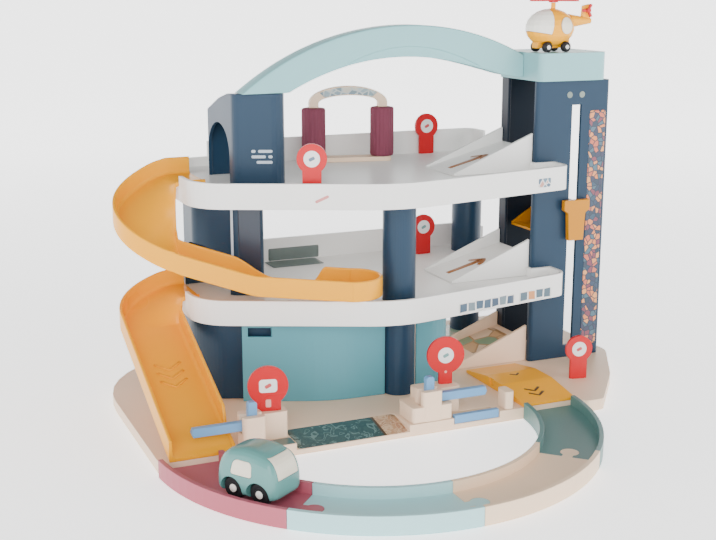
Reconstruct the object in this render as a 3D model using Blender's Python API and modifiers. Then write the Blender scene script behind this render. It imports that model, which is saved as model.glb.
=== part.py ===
"""Toy parking garage: two decks, a lift tower, two curled ramps and a ring of road pieces.

Lengths are in millimetres and go through MM where a mesh is made. +Z is up and +X runs to the
right along the lift tower's front. The origin lies on the ground by the front pillar's foot.
"""
import math

import bmesh
import bpy
from mathutils import Matrix, Vector

MM = 0.001
# Seat left between pieces that rest on each other, and play of a piece that moves
GAP = 0.3
PLAY = 0.5

# Base plate
BASE_TOP = 14.0
BASE_LEFT, BASE_RIGHT = -318.0, 344.0
BASE_FRONT, BASE_BACK = -82.0, 292.0
BASE_BACK_RADIUS = 160.0
# The right-hand end of the front edge: x, distance behind BASE_FRONT and corner radius
BASE_FRONT_RIGHT = ((196.0, 0.0, 0.0), (204.0, -10.0, 6.0), (226.0, -10.0, 12.0), (290.0, 68.0, 60.0))
BASE_SIDE_FRONT, BASE_SIDE_RADIUS = 74.0, 40.0
BASE_WALL = 3.0
# Ribs below the plate that run from front to back
BASE_RIBS = (-205.0, 0.0, 205.0)
BASE_RIB_WIDTH = 12.0
# Slopes down to the front edge, left, right and depth: the wide apron and the short lane
APRONS = ((-166.0, -29.0, 44.0), (27.5, 88.0, 20.0))
APRON_DROP = 8.0

# Ring road
RING_X, RING_Y = -65.0, -63.0
RING_OUTER = 256.0
ROAD_WIDTH = 70.0
ROAD_HEIGHT = 20.0
ROAD_FLOOR = 8.0
ROAD_WALL = 5.0
RING_SEAM_ANGLES = (183.0, 227.0, 270.0, 315.0, 357.0)
TAB_RADIUS = 10.0
TAB_NECK = 11.0
TAB_REACH = 14.0
TAB_ROOT = 6.0

# Decks
DECK_HEIGHTS = (130.0, 268.0)
DECK_PLATE = 4.0
DECK_WALL = 4.0
SKIRT = 18.0
RIM = 12.0
REAR_RIM = 32.0
REAR_RIM_DEPTH = 42.0
REAR_RIM_LEFT = -150.0
DECK_LEFT, DECK_RIGHT, DECK_BACK = -229.0, 246.0, 291.0
DECK_BACK_RADIUS = 75.0
# Corners of the front edge: x, y and radius
DECK_KNEES = ((DECK_LEFT, 78.0, 55.0), (-12.0, -20.0, 120.0), (DECK_RIGHT, 29.0, 18.0))

# Lift tower
TOWER_LEFT, TOWER_RIGHT = 218.0, 326.0
TOWER_FRONT, TOWER_BACK = 68.0, 160.0
TOWER_TOP = 382.0
TOWER_WALL = 4.0
TOWER_RETURN = 19.0
DOOR_FRONT, DOOR_BACK = 76.0, 140.0
BACK_PANEL_RIGHT = 292.0
SLIT_X = 277.0
SLIT_WIDTH = 14.0
SLIT_BOTTOM, SLIT_TOP = 31.0, 351.0
HELIPAD_HEIGHT = 35.0
HELIPAD_PLATE = 3.0
HELIPAD_OVERHANG = 8.0
HELIPAD_LEFT = 216.0

# Left gates, and the arch bridge from the top gate to the helipad
# Each gate's plan of x, y, radius: the front wall slants as the decks' front edge does
MIDDLE_GATE = ((-207.0, 213.0, 6.0), (-207.0, 165.0, 14.0), (-165.0, 128.0, 14.0), (-130.0, 114.0, 10.0),
               (-122.0, 213.0, 6.0))
TOP_GATE = ((-172.0, 213.0, 6.0), (-167.0, 116.0, 14.0), (-107.0, 91.0, 14.0), (-104.0, 213.0, 6.0))
GATE_TOP = 376.0
GATE_WALL = 4.0
# The top gate's roof falls back from ROOF_CREST: y, drop below GATE_TOP and radius
ROOF_CREST = ((80.0, 0.0, 0.0), (134.0, 0.0, 60.0), (166.0, 8.0, 60.0), (220.0, 30.0, 0.0))
GATE_TILT = -23.0
PASSAGE_FRONT, PASSAGE_WIDTH = 133.0, 74.0
MIDDLE_PASSAGE, TOP_PASSAGE = 62.0, 70.0
ARCH_TOP = 453.0
ARCH_CROWN_X, ARCH_CROWN_RADIUS = 56.0, 345.0
ARCH_THICK = 30.0
# How far the underside's centre lies left of and below the crown's
ARCH_SHIFT = 8.0
ARCH_FRONT, ARCH_DEPTH = 101.0, 29.0
ARCH_WALL = 4.0

# Walls at the ground
GROUND_WALL = 3.0
LEFT_WALL = 4.0
WINDOW_LEFT, WINDOW_WIDTH, WINDOW_HEIGHT = -171.0, 26.0, 11.0
WINDOW_DROP = 31.0
# Plans of x, y, radius up to the front pillar, and from it to the base wedge
LEFT_WALL_FOOT, LEFT_WALL_BEND, LEFT_WALL_KNEE = (-140.0, 67.0), (-180.0, 84.0, 20.0), (100.0, 48.0)
FRONT_WALL = ((-177.0, 71.0, 0.0), (-80.0, 30.0, 160.0))
FRONT_WALL_SET_BACK = 5.0
SIDE_WALL_X, SIDE_WALL_RADIUS, SIDE_WALL_END = 70.0, 24.0, 92.0

# Curled ramps
RAMP_WIDTH = 74.0
RAMP_WALL = 3.5
RAMP_FLOOR = 3.5
RAMP_HEIGHT = 24.0
RAMP_TURN = 39.0
RAMP_TURN_X = -232.0
UPPER_ENTRY_X, LOWER_ENTRY_X = -196.0, -211.0
UPPER_TURN_Y = 139.0
LOWER_TURN_Y = 127.0
UPPER_RUN = 205.0
UPPER_HEADING = -20.0
CUP_REACH = 30.0
CUP_RISE = 2.0
RAMP_GAP_BACK, RAMP_GAP_LENGTH = 61.0, 54.0

# Pillars
PILLAR_RADIUS = 20.0
PILLAR_WALL = 3.0
FRONT_PILLAR = (10.0, 33.0)
REAR_PILLAR_RADIUS = 21.0
REAR_PILLARS = {"rear": (219.0, 250.0), "rear_left": (-150.0, 250.0)}

# Wedges up to the lift door
WEDGE_LENGTH = 112.0
WEDGE_RISE = 30.0
WEDGE_FRONT, WEDGE_BACK = 76.0, 156.0
WEDGE_WALL = 4.0
WEDGE_SIDE = 18.0

# Lift car, drawn where it stands in the photograph
LIFT_FLOOR = 186.0
LIFT_LEFT, LIFT_RIGHT = 229.0, 316.0
LIFT_FRONT, LIFT_BACK = 84.0, 142.0
LIFT_WALL = 3.0
LIFT_SIDE = 30.0
HANDLE_HALF, HANDLE_STEM_HALF, HANDLE_TIP_HALF = 19.0, 13.0, 11.0
HANDLE_THICK = 7.0
HANDLE_CLEARANCE = 3.0

# Signs: round head on a neck, with a tab below that stands in a slot
SIGN_THICK = 4.0
SIGN_TAB = 7.0
SIGN_NECK = 11.0
SIGN_SHOULDER = 3.0
BIG_HEAD, SMALL_HEAD = 22.5, 17.5
SMALL_SIGN_HEIGHT = 56.0
# x, y and turn of each sign on the base, and level, x, y and turn of each one on a deck
BASE_SIGNS = ((240.0, -14.0, -12.0),)
DECK_SIGNS = ((1, -100.0, 36.0, GATE_TILT), (1, 168.0, 280.0, 0.0), (0, 150.0, 250.0, 0.0))

# Barriers: each turns on a pin in a narrow housing, with a shelf behind it that carries a sign
BLOCK_FRONT = BASE_FRONT + 0.5
BLOCK_RADIUS = 4.0
HOUSING_TOP, SHELF_TOP, PLINTH_TOP = 50.0, 45.0, 32.5
BARRIER_THICK = 7.0
BARRIER_BAR = 10.0
BARRIER_Y = -70.0
PIVOT_Z = 39.0
SLOT_BOTTOM = 30.0
PIN_RADIUS = 2.0
LEVER_TOP = 65.0
# Pivot's x, side of the bar and its reach
BARRIERS = {"left": (-213.0, -1, 66.0), "centre": (0.5, 1, 72.0)}
# Left, right, front, back and top of a block's housing, shelf and plinth
BLOCKS = {"left": ((-225.5, -200.5, BLOCK_FRONT, -54.5, HOUSING_TOP),
                   (-221.0, -168.0, -61.5, -40.0, SHELF_TOP)),
          "centre": ((-12.0, 13.0, BLOCK_FRONT, -54.5, HOUSING_TOP), (-8.0, 46.0, -61.5, -36.0, SHELF_TOP),
                     (-25.0, 26.0, BLOCK_FRONT + 0.5, -42.0, PLINTH_TOP))}
# x, y, half width of the neck and height of the sign on each block
BLOCK_SIGNS = {"left": (-188.0, -52.0, 14.0, 51.0), "centre": (33.0, -47.0, 8.0, 57.0)}

# Lane edge and exit tile
RAIL_LEFT, RAIL_RIGHT = 28.5, 86.5
RAIL_DEPTH, RAIL_TOP = 6.0, 17.0
POST_LEFT, POST_WIDTH, POST_DEPTH, POST_TOP = 96.0, 11.0, 21.0, 36.0
TILE_LEFT, TILE_RIGHT, TILE_BACK = 120.0, 192.0, 60.0
TILE_RISE, TILE_EDGE = 12.0, 4.0

# Car wash on the top deck
WASH_X, WASH_Y = 37.0, 254.0
WASH_SPAN = 94.0
WASH_TURN = GATE_TILT / 2
WASH_FOOT = 6.0
WASH_FOOT_HALF = 12.0
POST_RADIUS = 3.0
ROLLER_RADIUS = 16.0
ROLLER_HEIGHT = 66.0
WASH_ARCH_HALF = 6.0
WASH_ARCH_RISE = 22.0

# Toy car
CAR_LENGTH, CAR_WIDTH, CAR_HEIGHT = 62.0, 44.0, 50.0
# Its place along the ring, and how far inside the lane's middle it stands
CAR_RING_ANGLE, CAR_INSET = 214.1, 5.0
CAR_WHEEL_RADIUS = 12.0
CAR_WHEEL_WIDTH = 9.0
CAR_WHEELBASE = 32.0
AXLE_RADIUS = 2.0
SCREEN_HALF = 16.0

# Helicopter
HELI_X, HELI_Y = 248.0, 87.0
HELI_HEADING = 182.0
HELI_WHEEL = 6.5
HELI_WHEELS = {"front": 16.0, "rear": -12.0}
HELI_TRACK = 34.0
# Body: middle and half sizes of its ellipsoid, and the corners of the windscreen's side view
EGG_MIDDLE, EGG_HALF = (4.0, 0.0, 30.0), (34.0, 23.0, 24.0)
SCREEN_VIEW = ((14.0, 22.0), (60.0, 30.0), (60.0, 70.0), (6.0, 70.0))
BOOM_MIDDLE, BOOM_LENGTH, BOOM_ROOT, BOOM_TIP = (-40.0, 0.0, 38.0), 34.0, 9.0, 3.5
FIN_VIEW = ((-56.0, 36.0), (-43.0, 36.0), (-45.0, 57.0), (-54.0, 59.0))
STRUT_BACK, STRUT_FRONT, STRUT_HALF, STRUT_LOW, STRUT_HIGH = -22.0, 26.0, 6.0, 5.0, 16.0
TAIL_ROTOR_X, TAIL_ROTOR_Z = -50.0, 51.0
MAST_TOP = 61.0
ROTOR_THICK = 5.0
ROTOR_REACH, TAIL_ROTOR_REACH = 34.0, 9.0
FIN_HALF = 2.5

NAVY = (0.055, 0.125, 0.195)
PALE_BLUE = (0.42, 0.62, 0.62)
WHITE = (0.84, 0.84, 0.83)
CREAM = (0.82, 0.66, 0.52)
YELLOW = (0.90, 0.45, 0.04)
TEAL = (0.20, 0.41, 0.45)
PLUM = (0.50, 0.17, 0.19)
RED = (0.70, 0.07, 0.08)
SKY = (0.28, 0.46, 0.63)
GREEN = (0.14, 0.27, 0.26)
BLACK = (0.02, 0.02, 0.02)
GREY = (0.35, 0.35, 0.36)
LIFT_YELLOW = (0.86, 0.42, 0.01)
ROLLER_PLUM = (0.26, 0.10, 0.13)
CAR_TEAL = (0.28, 0.46, 0.44)


def start_scene():
    """Empty the scene and make the collections for the parts and for the cutters."""
    for old in list(bpy.data.objects):
        bpy.data.objects.remove(old)
    made = []
    for name in ("toy_parking_garage", "cutters"):
        collection = bpy.data.collections.new(name)
        bpy.context.scene.collection.children.link(collection)
        made.append(collection)
    return made


PARTS, CUTTERS = start_scene()


def plastic(name, colour, roughness=0.4):
    """A smooth moulded plastic of one colour."""
    material = bpy.data.materials.get(name)
    if material is None:
        material = bpy.data.materials.new(name)
        material.use_nodes = True
        shader = material.node_tree.nodes["Principled BSDF"]
        shader.inputs["Base Color"].default_value = (*colour, 1.0)
        shader.inputs["Roughness"].default_value = roughness
        shader.inputs["Metallic"].default_value = 0.0
    return material


def finish_part(thing, name, material):
    """Name an object, give it its material and show it among the parts."""
    thing.name = name
    thing.data.name = name
    thing.data.materials.clear()
    thing.data.materials.append(material)
    thing.data.shade_smooth()
    thing.data.set_sharp_from_angle(angle=math.radians(32))
    for collection in list(thing.users_collection):
        collection.objects.unlink(thing)
    PARTS.objects.link(thing)
    return thing


def from_bmesh(work, name="shape"):
    """An object made from a bmesh, kept with the cutters until it is finished."""
    bmesh.ops.recalc_face_normals(work, faces=work.faces)
    mesh = bpy.data.meshes.new(name)
    work.to_mesh(mesh)
    work.free()
    thing = bpy.data.objects.new(name, mesh)
    CUTTERS.objects.link(thing)
    thing.hide_render = True
    thing.display_type = "WIRE"
    return thing


def show(thing, name, material):
    """Turn a finished shape into a visible part."""
    thing.hide_render = False
    thing.display_type = "TEXTURED"
    return finish_part(thing, name, material)


def apply_modifiers(thing):
    """Replace an object's mesh by its evaluated one."""
    bpy.context.view_layer.update()
    graph = bpy.context.evaluated_depsgraph_get()
    mesh = bpy.data.meshes.new_from_object(thing.evaluated_get(graph))
    thing.modifiers.clear()
    thing.data = mesh
    return thing


def combine(thing, operation, others):
    """Join to, cut from or keep the overlap with the other shapes, which are used up."""
    for other in others:
        modifier = thing.modifiers.new(operation, "BOOLEAN")
        modifier.operation = operation
        modifier.object = other
        modifier.solver = "EXACT"
        apply_modifiers(thing)
        bpy.data.objects.remove(other)
    return thing


def cut(thing, *others):
    return combine(thing, "DIFFERENCE", others)


def join(thing, *others):
    return combine(thing, "UNION", others)


def keep(thing, *others):
    return combine(thing, "INTERSECT", others)


def copy_of(thing):
    """A second shape with its own mesh."""
    twin = thing.copy()
    twin.data = thing.data.copy()
    CUTTERS.objects.link(twin)
    return twin


def box(x0, x1, y0, y1, z0, z1):
    """A box between the given faces."""
    work = bmesh.new()
    bmesh.ops.create_cube(work, size=1.0)
    size = Vector((x1 - x0, y1 - y0, z1 - z0)) * MM
    middle = Vector((x0 + x1, y0 + y1, z0 + z1)) * MM / 2
    work.transform(Matrix.Translation(middle) @ Matrix.Diagonal((*size, 1.0)))
    return from_bmesh(work)


def rod(centre, axis, radius, length, sides=32, end_radius=None):
    """A cylinder or cone about an axis named X, Y or Z, centred on a point."""
    work = bmesh.new()
    tip = radius if end_radius is None else end_radius
    bmesh.ops.create_cone(work, cap_ends=True, segments=sides, radius1=radius * MM,
                          radius2=tip * MM, depth=length * MM)
    turn = {"X": Matrix.Rotation(math.pi / 2, 4, "Y"), "Y": Matrix.Rotation(-math.pi / 2, 4, "X"),
            "Z": Matrix.Identity(4)}[axis]
    work.transform(Matrix.Translation(Vector(centre) * MM) @ turn)
    return from_bmesh(work)


def ball(centre, radii, rows=12):
    """An ellipsoid."""
    work = bmesh.new()
    bmesh.ops.create_uvsphere(work, u_segments=2 * rows, v_segments=rows, radius=1.0)
    scale = Matrix.Diagonal((*(Vector(radii) * MM), 1.0))
    work.transform(Matrix.Translation(Vector(centre) * MM) @ scale)
    return from_bmesh(work)


def slab(outline, low, high, turn=Matrix.Identity(4)):
    """A flat outline extruded from low to high, made as a filled 2D curve and then turned."""
    curve = bpy.data.curves.new("outline", "CURVE")
    curve.dimensions = "2D"
    curve.fill_mode = "BOTH"
    curve.extrude = (high - low) * MM / 2
    spline = curve.splines.new("POLY")
    spline.points.add(len(outline) - 1)
    for point, (x, y) in zip(spline.points, outline):
        point.co = (x * MM, y * MM, 0.0, 1.0)
    spline.use_cyclic_u = True
    guide = bpy.data.objects.new("outline", curve)
    CUTTERS.objects.link(guide)
    bpy.context.view_layer.update()
    graph = bpy.context.evaluated_depsgraph_get()
    mesh = bpy.data.meshes.new_from_object(guide.evaluated_get(graph))
    bpy.data.objects.remove(guide)
    work = bmesh.new()
    work.from_mesh(mesh)
    bpy.data.meshes.remove(mesh)
    bmesh.ops.remove_doubles(work, verts=work.verts, dist=1e-6)
    work.transform(turn @ Matrix.Translation((0.0, 0.0, (low + high) * MM / 2)))
    return from_bmesh(work)


# Turns that stand an outline up: its own x and y become world X and Z, or world Y and Z
FACING_FRONT = Matrix.Rotation(math.pi / 2, 4, "X")
FACING_SIDE = Matrix.Rotation(math.pi / 2, 4, "Z") @ Matrix.Rotation(math.pi / 2, 4, "X")


def side_slab(outline, y0, y1):
    """An outline in X and Z, extruded from y0 to y1."""
    return slab(outline, -y1, -y0, FACING_FRONT)


def front_slab(outline, x0, x1):
    """An outline in Y and Z, extruded from x0 to x1."""
    return slab(outline, x0, x1, FACING_SIDE)


def arc(x, y, radius, start, end, steps):
    """Points along a circle between two angles in degrees."""
    angles = [math.radians(start + (end - start) * i / steps) for i in range(steps + 1)]
    return [(x + radius * math.cos(a), y + radius * math.sin(a)) for a in angles]


def rounded(corners, closed=True, steps=6):
    """A path through corners (x, y, radius), with each corner turned into an arc."""
    points = []
    count = len(corners)
    for i, (x, y, radius) in enumerate(corners):
        if radius <= 0 or (not closed and i in (0, count - 1)):
            points.append((x, y))
            continue
        here = Vector((x, y))
        before = (Vector(corners[i - 1][:2]) - here).normalized()
        after = (Vector(corners[(i + 1) % count][:2]) - here).normalized()
        half = before.angle(after) / 2
        reach = radius / math.tan(half)
        centre = here + (before + after).normalized() * radius / math.sin(half)
        first = here + before * reach - centre
        sweep = first.angle_signed(here + after * reach - centre)
        for step in range(steps + 1):
            turned = Matrix.Rotation(-sweep * step / steps, 2) @ first
            points.append(tuple(centre + turned))
    return points


def headings(path):
    """The plan direction, in radians, at each point of a path."""
    found = []
    for i in range(len(path)):
        a, b = path[max(i - 1, 0)], path[min(i + 1, len(path) - 1)]
        found.append(math.atan2(b[1] - a[1], b[0] - a[0]))
    return found


def ribbon(path, thickness):
    """The closed outline of a wall that follows a path."""
    left, right = [], []
    for (x, y), turn in zip(path, headings(path)):
        side = Vector((-math.sin(turn), math.cos(turn))) * thickness / 2
        left.append((x + side.x, y + side.y))
        right.append((x - side.x, y - side.y))
    return left + right[::-1]


def route(x, y, heading, pieces):
    """A plan path of (x, y, heading, distance) made of straight runs and left turns.

    Each piece is (length, 0) for a run or (radius, degrees) for a turn to the left.
    """
    far = 0.0
    stations = [(x, y, heading, far)]
    for size, degrees in pieces:
        length = math.radians(degrees) * size if degrees else size
        count = max(1, round(max(degrees / 8, length / 12) if degrees else length / 20))
        for i in range(count):
            step = length / count
            bend = degrees / count
            middle = math.radians(heading + bend / 2)
            chord = 2 * size * math.sin(math.radians(bend / 2)) if degrees else step
            x, y = x + chord * math.cos(middle), y + chord * math.sin(middle)
            heading += bend
            far += step
            stations.append((x, y, heading, far))
    return stations


def sweep_section(path, section, caps):
    """Loft a closed section along a path of (x, y, underside, heading), upright at every station."""
    work = bmesh.new()
    rings = []
    for x, y, z, turn in path:
        turn = math.radians(turn)
        side = Vector((-math.sin(turn), math.cos(turn)))
        rings.append([work.verts.new(Vector((x + side.x * s, y + side.y * s, z + h)) * MM)
                      for s, h in section])
    for a, b in zip(rings, rings[1:]):
        for i in range(len(section)):
            k = (i + 1) % len(section)
            work.faces.new((a[i], a[k], b[k], b[i]))
    for ring in (rings[0], rings[-1]):
        for face in caps:
            work.faces.new([ring[i] for i in face])
    return from_bmesh(work)


def channel(path, width, height, floor, wall):
    """A U-shaped road along a path of (x, y, underside, heading)."""
    half = width / 2
    section = [(-half, 0), (half, 0), (half, height), (half - wall, height), (half - wall, floor),
               (wall - half, floor), (wall - half, height), (-half, height)]
    return sweep_section(path, section, ((0, 1, 4, 5), (1, 2, 3, 4), (0, 5, 6, 7)))


def on_axis(thing, point):
    """Move an object's origin to a point without moving its mesh."""
    shift = Vector(point) * MM
    thing.data.transform(Matrix.Translation(-shift))
    thing.location = shift
    return thing


def turned_about(thing, angle, point):
    """Turn a shape about the vertical line through a point."""
    there = Matrix.Translation(Vector((*point, 0.0)) * MM)
    turn = Matrix.Rotation(math.radians(angle), 4, "Z")
    thing.data.transform(there @ turn @ there.inverted())
    return thing


def lathe(profile, steps=32):
    """A shape turned about Z from (radius, height) points that run down its outer side."""
    mesh = bpy.data.meshes.new("profile")
    points = [(r * MM, 0.0, z * MM) for r, z in profile]
    mesh.from_pydata(points, [(i, i + 1) for i in range(len(points) - 1)], [])
    thing = bpy.data.objects.new("profile", mesh)
    CUTTERS.objects.link(thing)
    thing.hide_render = True
    thing.display_type = "WIRE"
    screw = thing.modifiers.new("screw", "SCREW")
    screw.steps = screw.render_steps = steps
    screw.use_merge_vertices = True
    screw.merge_threshold = 1e-6
    return apply_modifiers(thing)


# Base plate and what is moulded with it

def base_outline():
    """The plate's outline: straight in front, cut across at the front right."""
    front = [(x, BASE_FRONT + y, radius) for x, y, radius in BASE_FRONT_RIGHT]
    return rounded([
        (BASE_LEFT, BASE_FRONT, 4), *front, (BASE_RIGHT, BASE_SIDE_FRONT, BASE_SIDE_RADIUS),
        (BASE_RIGHT, BASE_BACK, 26), (BASE_LEFT, BASE_BACK, BASE_BACK_RADIUS)], steps=9)


def make_base():
    """The plate, open and ribbed below, with two sloping aprons in front and a sign slot."""
    outline = base_outline()
    plate = slab(outline, 0, BASE_TOP)
    for left, right, depth in APRONS:
        slope = [(BASE_FRONT - 1, BASE_TOP - APRON_DROP), (BASE_FRONT + depth, BASE_TOP),
                 (BASE_FRONT + depth, BASE_TOP + 1), (BASE_FRONT - 1, BASE_TOP + 1)]
        cut(plate, front_slab(slope, left, right))
    for x, y, turn in BASE_SIGNS:
        cut(plate, sign_slot(x, y, BASE_TOP, turn))
    # The plate and its rim are BASE_WALL thick, but the aprons stay solid
    room = slab(inset(outline, BASE_WALL), -1, BASE_TOP - BASE_WALL)
    rib = BASE_RIB_WIDTH / 2
    for x in BASE_RIBS:
        cut(room, box(x - rib, x + rib, BASE_FRONT - BASE_RIB_WIDTH, BASE_BACK, -2, BASE_TOP))
    for left, right, depth in APRONS:
        cut(room, box(left - BASE_WALL, right + BASE_WALL, BASE_FRONT, BASE_FRONT + depth, -2, BASE_TOP))
    cut(plate, room)
    return show(plate, "base_plate", plastic("cream", CREAM, 0.5))


def make_blocks():
    """The blocks on the base: a slotted housing for the barrier's pin and a shelf for a sign."""
    for end, parts in BLOCKS.items():
        shapes = []
        for x0, x1, y0, y1, top in parts:
            corners = ((x0, y0), (x1, y0), (x1, y1), (x0, y1))
            outline = rounded([(x, y, BLOCK_RADIUS) for x, y in corners], steps=4)
            shapes.append(slab(outline, BASE_TOP + GAP, top))
        block = join(*shapes)
        pivot, half = BARRIERS[end][0], BARRIER_THICK / 2 + PLAY
        x0, x1 = parts[0][:2]
        cut(block, box(x0 - 1, x1 + 1, BARRIER_Y - half, BARRIER_Y + half, SLOT_BOTTOM, HOUSING_TOP + 1))
        x, y, neck, _ = BLOCK_SIGNS[end]
        cut(block, sign_slot(x, y, SHELF_TOP, GATE_TILT / 2, neck))
        cut(block, rod((pivot, BARRIER_Y, PIVOT_Z), "Y", PIN_RADIUS + GAP, BARRIER_THICK + 9, 20))
        show(block, "barrier_block_" + end, plastic("cream", CREAM, 0.5))


def make_barriers():
    """A bar across each lane with a thumb lever on top, turning on a pin in its block."""
    y, half, bevel = BARRIER_Y, BARRIER_BAR / 2, 2.0
    for end, (x, side, reach) in BARRIERS.items():
        # Distances from the pivot towards the bar's tip, and heights
        bar = [(-half, PIVOT_Z - half), (reach, PIVOT_Z - half), (reach + bevel, PIVOT_Z),
               (reach, PIVOT_Z + half), (half, PIVOT_Z + half), (half, LEVER_TOP - bevel),
               (half - bevel, LEVER_TOP), (bevel - half, LEVER_TOP), (-half, LEVER_TOP - bevel)]
        outline = [(x + side * far, z) for far, z in bar]
        arm = side_slab(outline, y - BARRIER_THICK / 2, y + BARRIER_THICK / 2)
        cut(arm, rod((x, y, PIVOT_Z), "Y", PIN_RADIUS + GAP, BARRIER_THICK + 9, 20))
        show(arm, "barrier_" + end, plastic("sky", SKY))
        on_axis(arm, (x, y, PIVOT_Z))
        pin = rod((x, y, PIVOT_Z), "Y", PIN_RADIUS, BARRIER_THICK + 6, 20)
        show(pin, "barrier_pin_" + end, plastic("pin_grey", GREY, 0.3))


def make_lane_edge():
    """The low blue rail at the foot of the short lane's slope, and the stop post beside it."""
    low = BASE_TOP + GAP
    near, far = BLOCK_FRONT, BLOCK_FRONT + RAIL_DEPTH
    depth = APRONS[1][2]
    foot = [low - APRON_DROP * (BASE_FRONT + depth - y) / (depth + 1) for y in (near, far)]
    side = [(near, foot[0]), (far, foot[1]), (far, RAIL_TOP), (near, RAIL_TOP)]
    show(front_slab(side, RAIL_LEFT, RAIL_RIGHT), "lane_rail", plastic("sky", SKY))
    right, back = POST_LEFT + POST_WIDTH, BLOCK_FRONT + POST_DEPTH
    corners = ((POST_LEFT, BLOCK_FRONT), (right, BLOCK_FRONT), (right, back), (POST_LEFT, back))
    outline = rounded([(x, y, 3) for x, y in corners], steps=3)
    show(slab(outline, low, POST_TOP), "lane_post", plastic("cream", CREAM, 0.5))


def make_exit_tile():
    """The yellow tile that leads from the lift's ground stop down onto the ring road."""
    low, top = BASE_TOP + GAP, BASE_TOP + TILE_RISE
    edge = BASE_TOP + TILE_EDGE
    front = BASE_FRONT + GAP
    side = [(front, low), (TILE_BACK, low), (TILE_BACK, edge), (10, top), (-28, top), (front, edge - 1)]
    tile = front_slab(side, TILE_LEFT, TILE_RIGHT)
    cut(tile, box(TILE_LEFT - 1, TILE_LEFT + 1.5, -10, 0, edge, top + 1))
    show(tile, "exit_tile", plastic("yellow", YELLOW))


# Signs

def sign_outline(head, height, neck):
    """A round head on a neck, drawn from the slot's mouth at (0, 0)."""
    start = math.degrees(math.asin(neck / head))
    ring = arc(0, height - head, head, start - 90, 270 - start, 28)
    tab = neck - SIGN_SHOULDER
    foot = [(-neck, 0), (-tab, 0), (-tab, -SIGN_TAB), (tab, -SIGN_TAB), (tab, 0)]
    return [(neck, 0)] + ring + foot


def sign_slot(x, y, top, turn, neck=SIGN_NECK):
    """The slot that takes a sign's tab."""
    wide = neck - SIGN_SHOULDER + GAP
    thick = SIGN_THICK / 2 + GAP
    bottom = top - SIGN_TAB - 2 * GAP
    return turned_about(box(x - wide, x + wide, y - thick, y + thick, bottom, top + 1), turn, (x, y))


def make_signs():
    """Six signs: three on the base, two on the top deck and one on the middle deck."""
    places = [(x, y, SHELF_TOP, GATE_TILT / 2, BIG_HEAD, height, neck)
              for x, y, neck, height in BLOCK_SIGNS.values()]
    small = [(x, y, BASE_TOP, turn) for x, y, turn in BASE_SIGNS]
    small += [(x, y, DECK_HEIGHTS[level], turn) for level, x, y, turn in DECK_SIGNS]
    places += [(*place, SMALL_HEAD, SMALL_SIGN_HEIGHT, SIGN_NECK) for place in small]
    for number, (x, y, z, turn, head, height, neck) in enumerate(places, 1):
        outline = [(x + a, z + GAP + b) for a, b in sign_outline(head, height, neck)]
        sign = side_slab(outline, y - SIGN_THICK / 2, y + SIGN_THICK / 2)
        turned_about(sign, turn, (x, y))
        show(sign, f"sign_{number}", plastic("red", RED))


# Decks

def deck_corners():
    """The decks' outline corners with their radii, with a recess for the lift tower."""
    recess = TOWER_LEFT - GAP
    front, back = TOWER_FRONT - GAP, TOWER_BACK + GAP
    return [(DECK_LEFT, DECK_BACK, DECK_BACK_RADIUS), *DECK_KNEES, (DECK_RIGHT, front, 0),
            (recess, front, 0), (recess, back, 0), (DECK_RIGHT, back, 0), (DECK_RIGHT, DECK_BACK, 16)]


def inset(outline, distance):
    """Move a closed counter-clockwise or clockwise outline inwards."""
    count = len(outline)
    following = outline[1:] + outline[:1]
    area = sum(a[0] * b[1] - b[0] * a[1] for a, b in zip(outline, following))
    sign = 1 if area > 0 else -1
    moved = []
    for i in range(count):
        here = Vector(outline[i])
        before = (here - Vector(outline[i - 1])).normalized()
        after = (Vector(outline[(i + 1) % count]) - here).normalized()
        normal_a = Vector((-before.y, before.x)) * sign
        normal_b = Vector((-after.y, after.x)) * sign
        middle = (normal_a + normal_b).normalized()
        moved.append(tuple(here + middle * distance / max(middle.dot(normal_a), 0.3)))
    return moved


def make_deck(level):
    """A deck: plate, skirt and rims, open at the lift door and at the ramp."""
    z = DECK_HEIGHTS[level]
    outline = rounded(deck_corners(), steps=8)
    inner = inset(outline, DECK_WALL)
    high = z + REAR_RIM
    deck = slab(outline, z - SKIRT, high)
    cut(deck, slab(inner, z, high + 1))
    cut(deck, slab(inner, z - SKIRT - 1, z - DECK_PLATE))
    # The high rim stays only along the back
    left, rear = DECK_LEFT - 1, DECK_BACK - REAR_RIM_DEPTH
    cut(deck, box(left, DECK_RIGHT + 1, -60, rear, z + RIM, high + 1))
    cut(deck, box(left, REAR_RIM_LEFT, rear - 1, DECK_BACK + 1, z + RIM, high + 1))
    middle = (LOWER_TURN_Y, UPPER_TURN_Y)[level] + RAMP_TURN
    half = RAMP_WIDTH / 2 + 2 * PLAY
    cut(deck, box(left, DECK_LEFT + DECK_WALL + 1, middle - half, middle + half, z, high))
    cut(deck, box(TOWER_LEFT - DECK_WALL - 1, TOWER_LEFT, WEDGE_FRONT - 1, WEDGE_BACK + 1, z, high))
    for at, x, y, turn in DECK_SIGNS:
        if at == level:
            cut(deck, sign_slot(x, y, z, turn))
    show(deck, f"floor_{level + 1}", plastic("white", WHITE))


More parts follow.
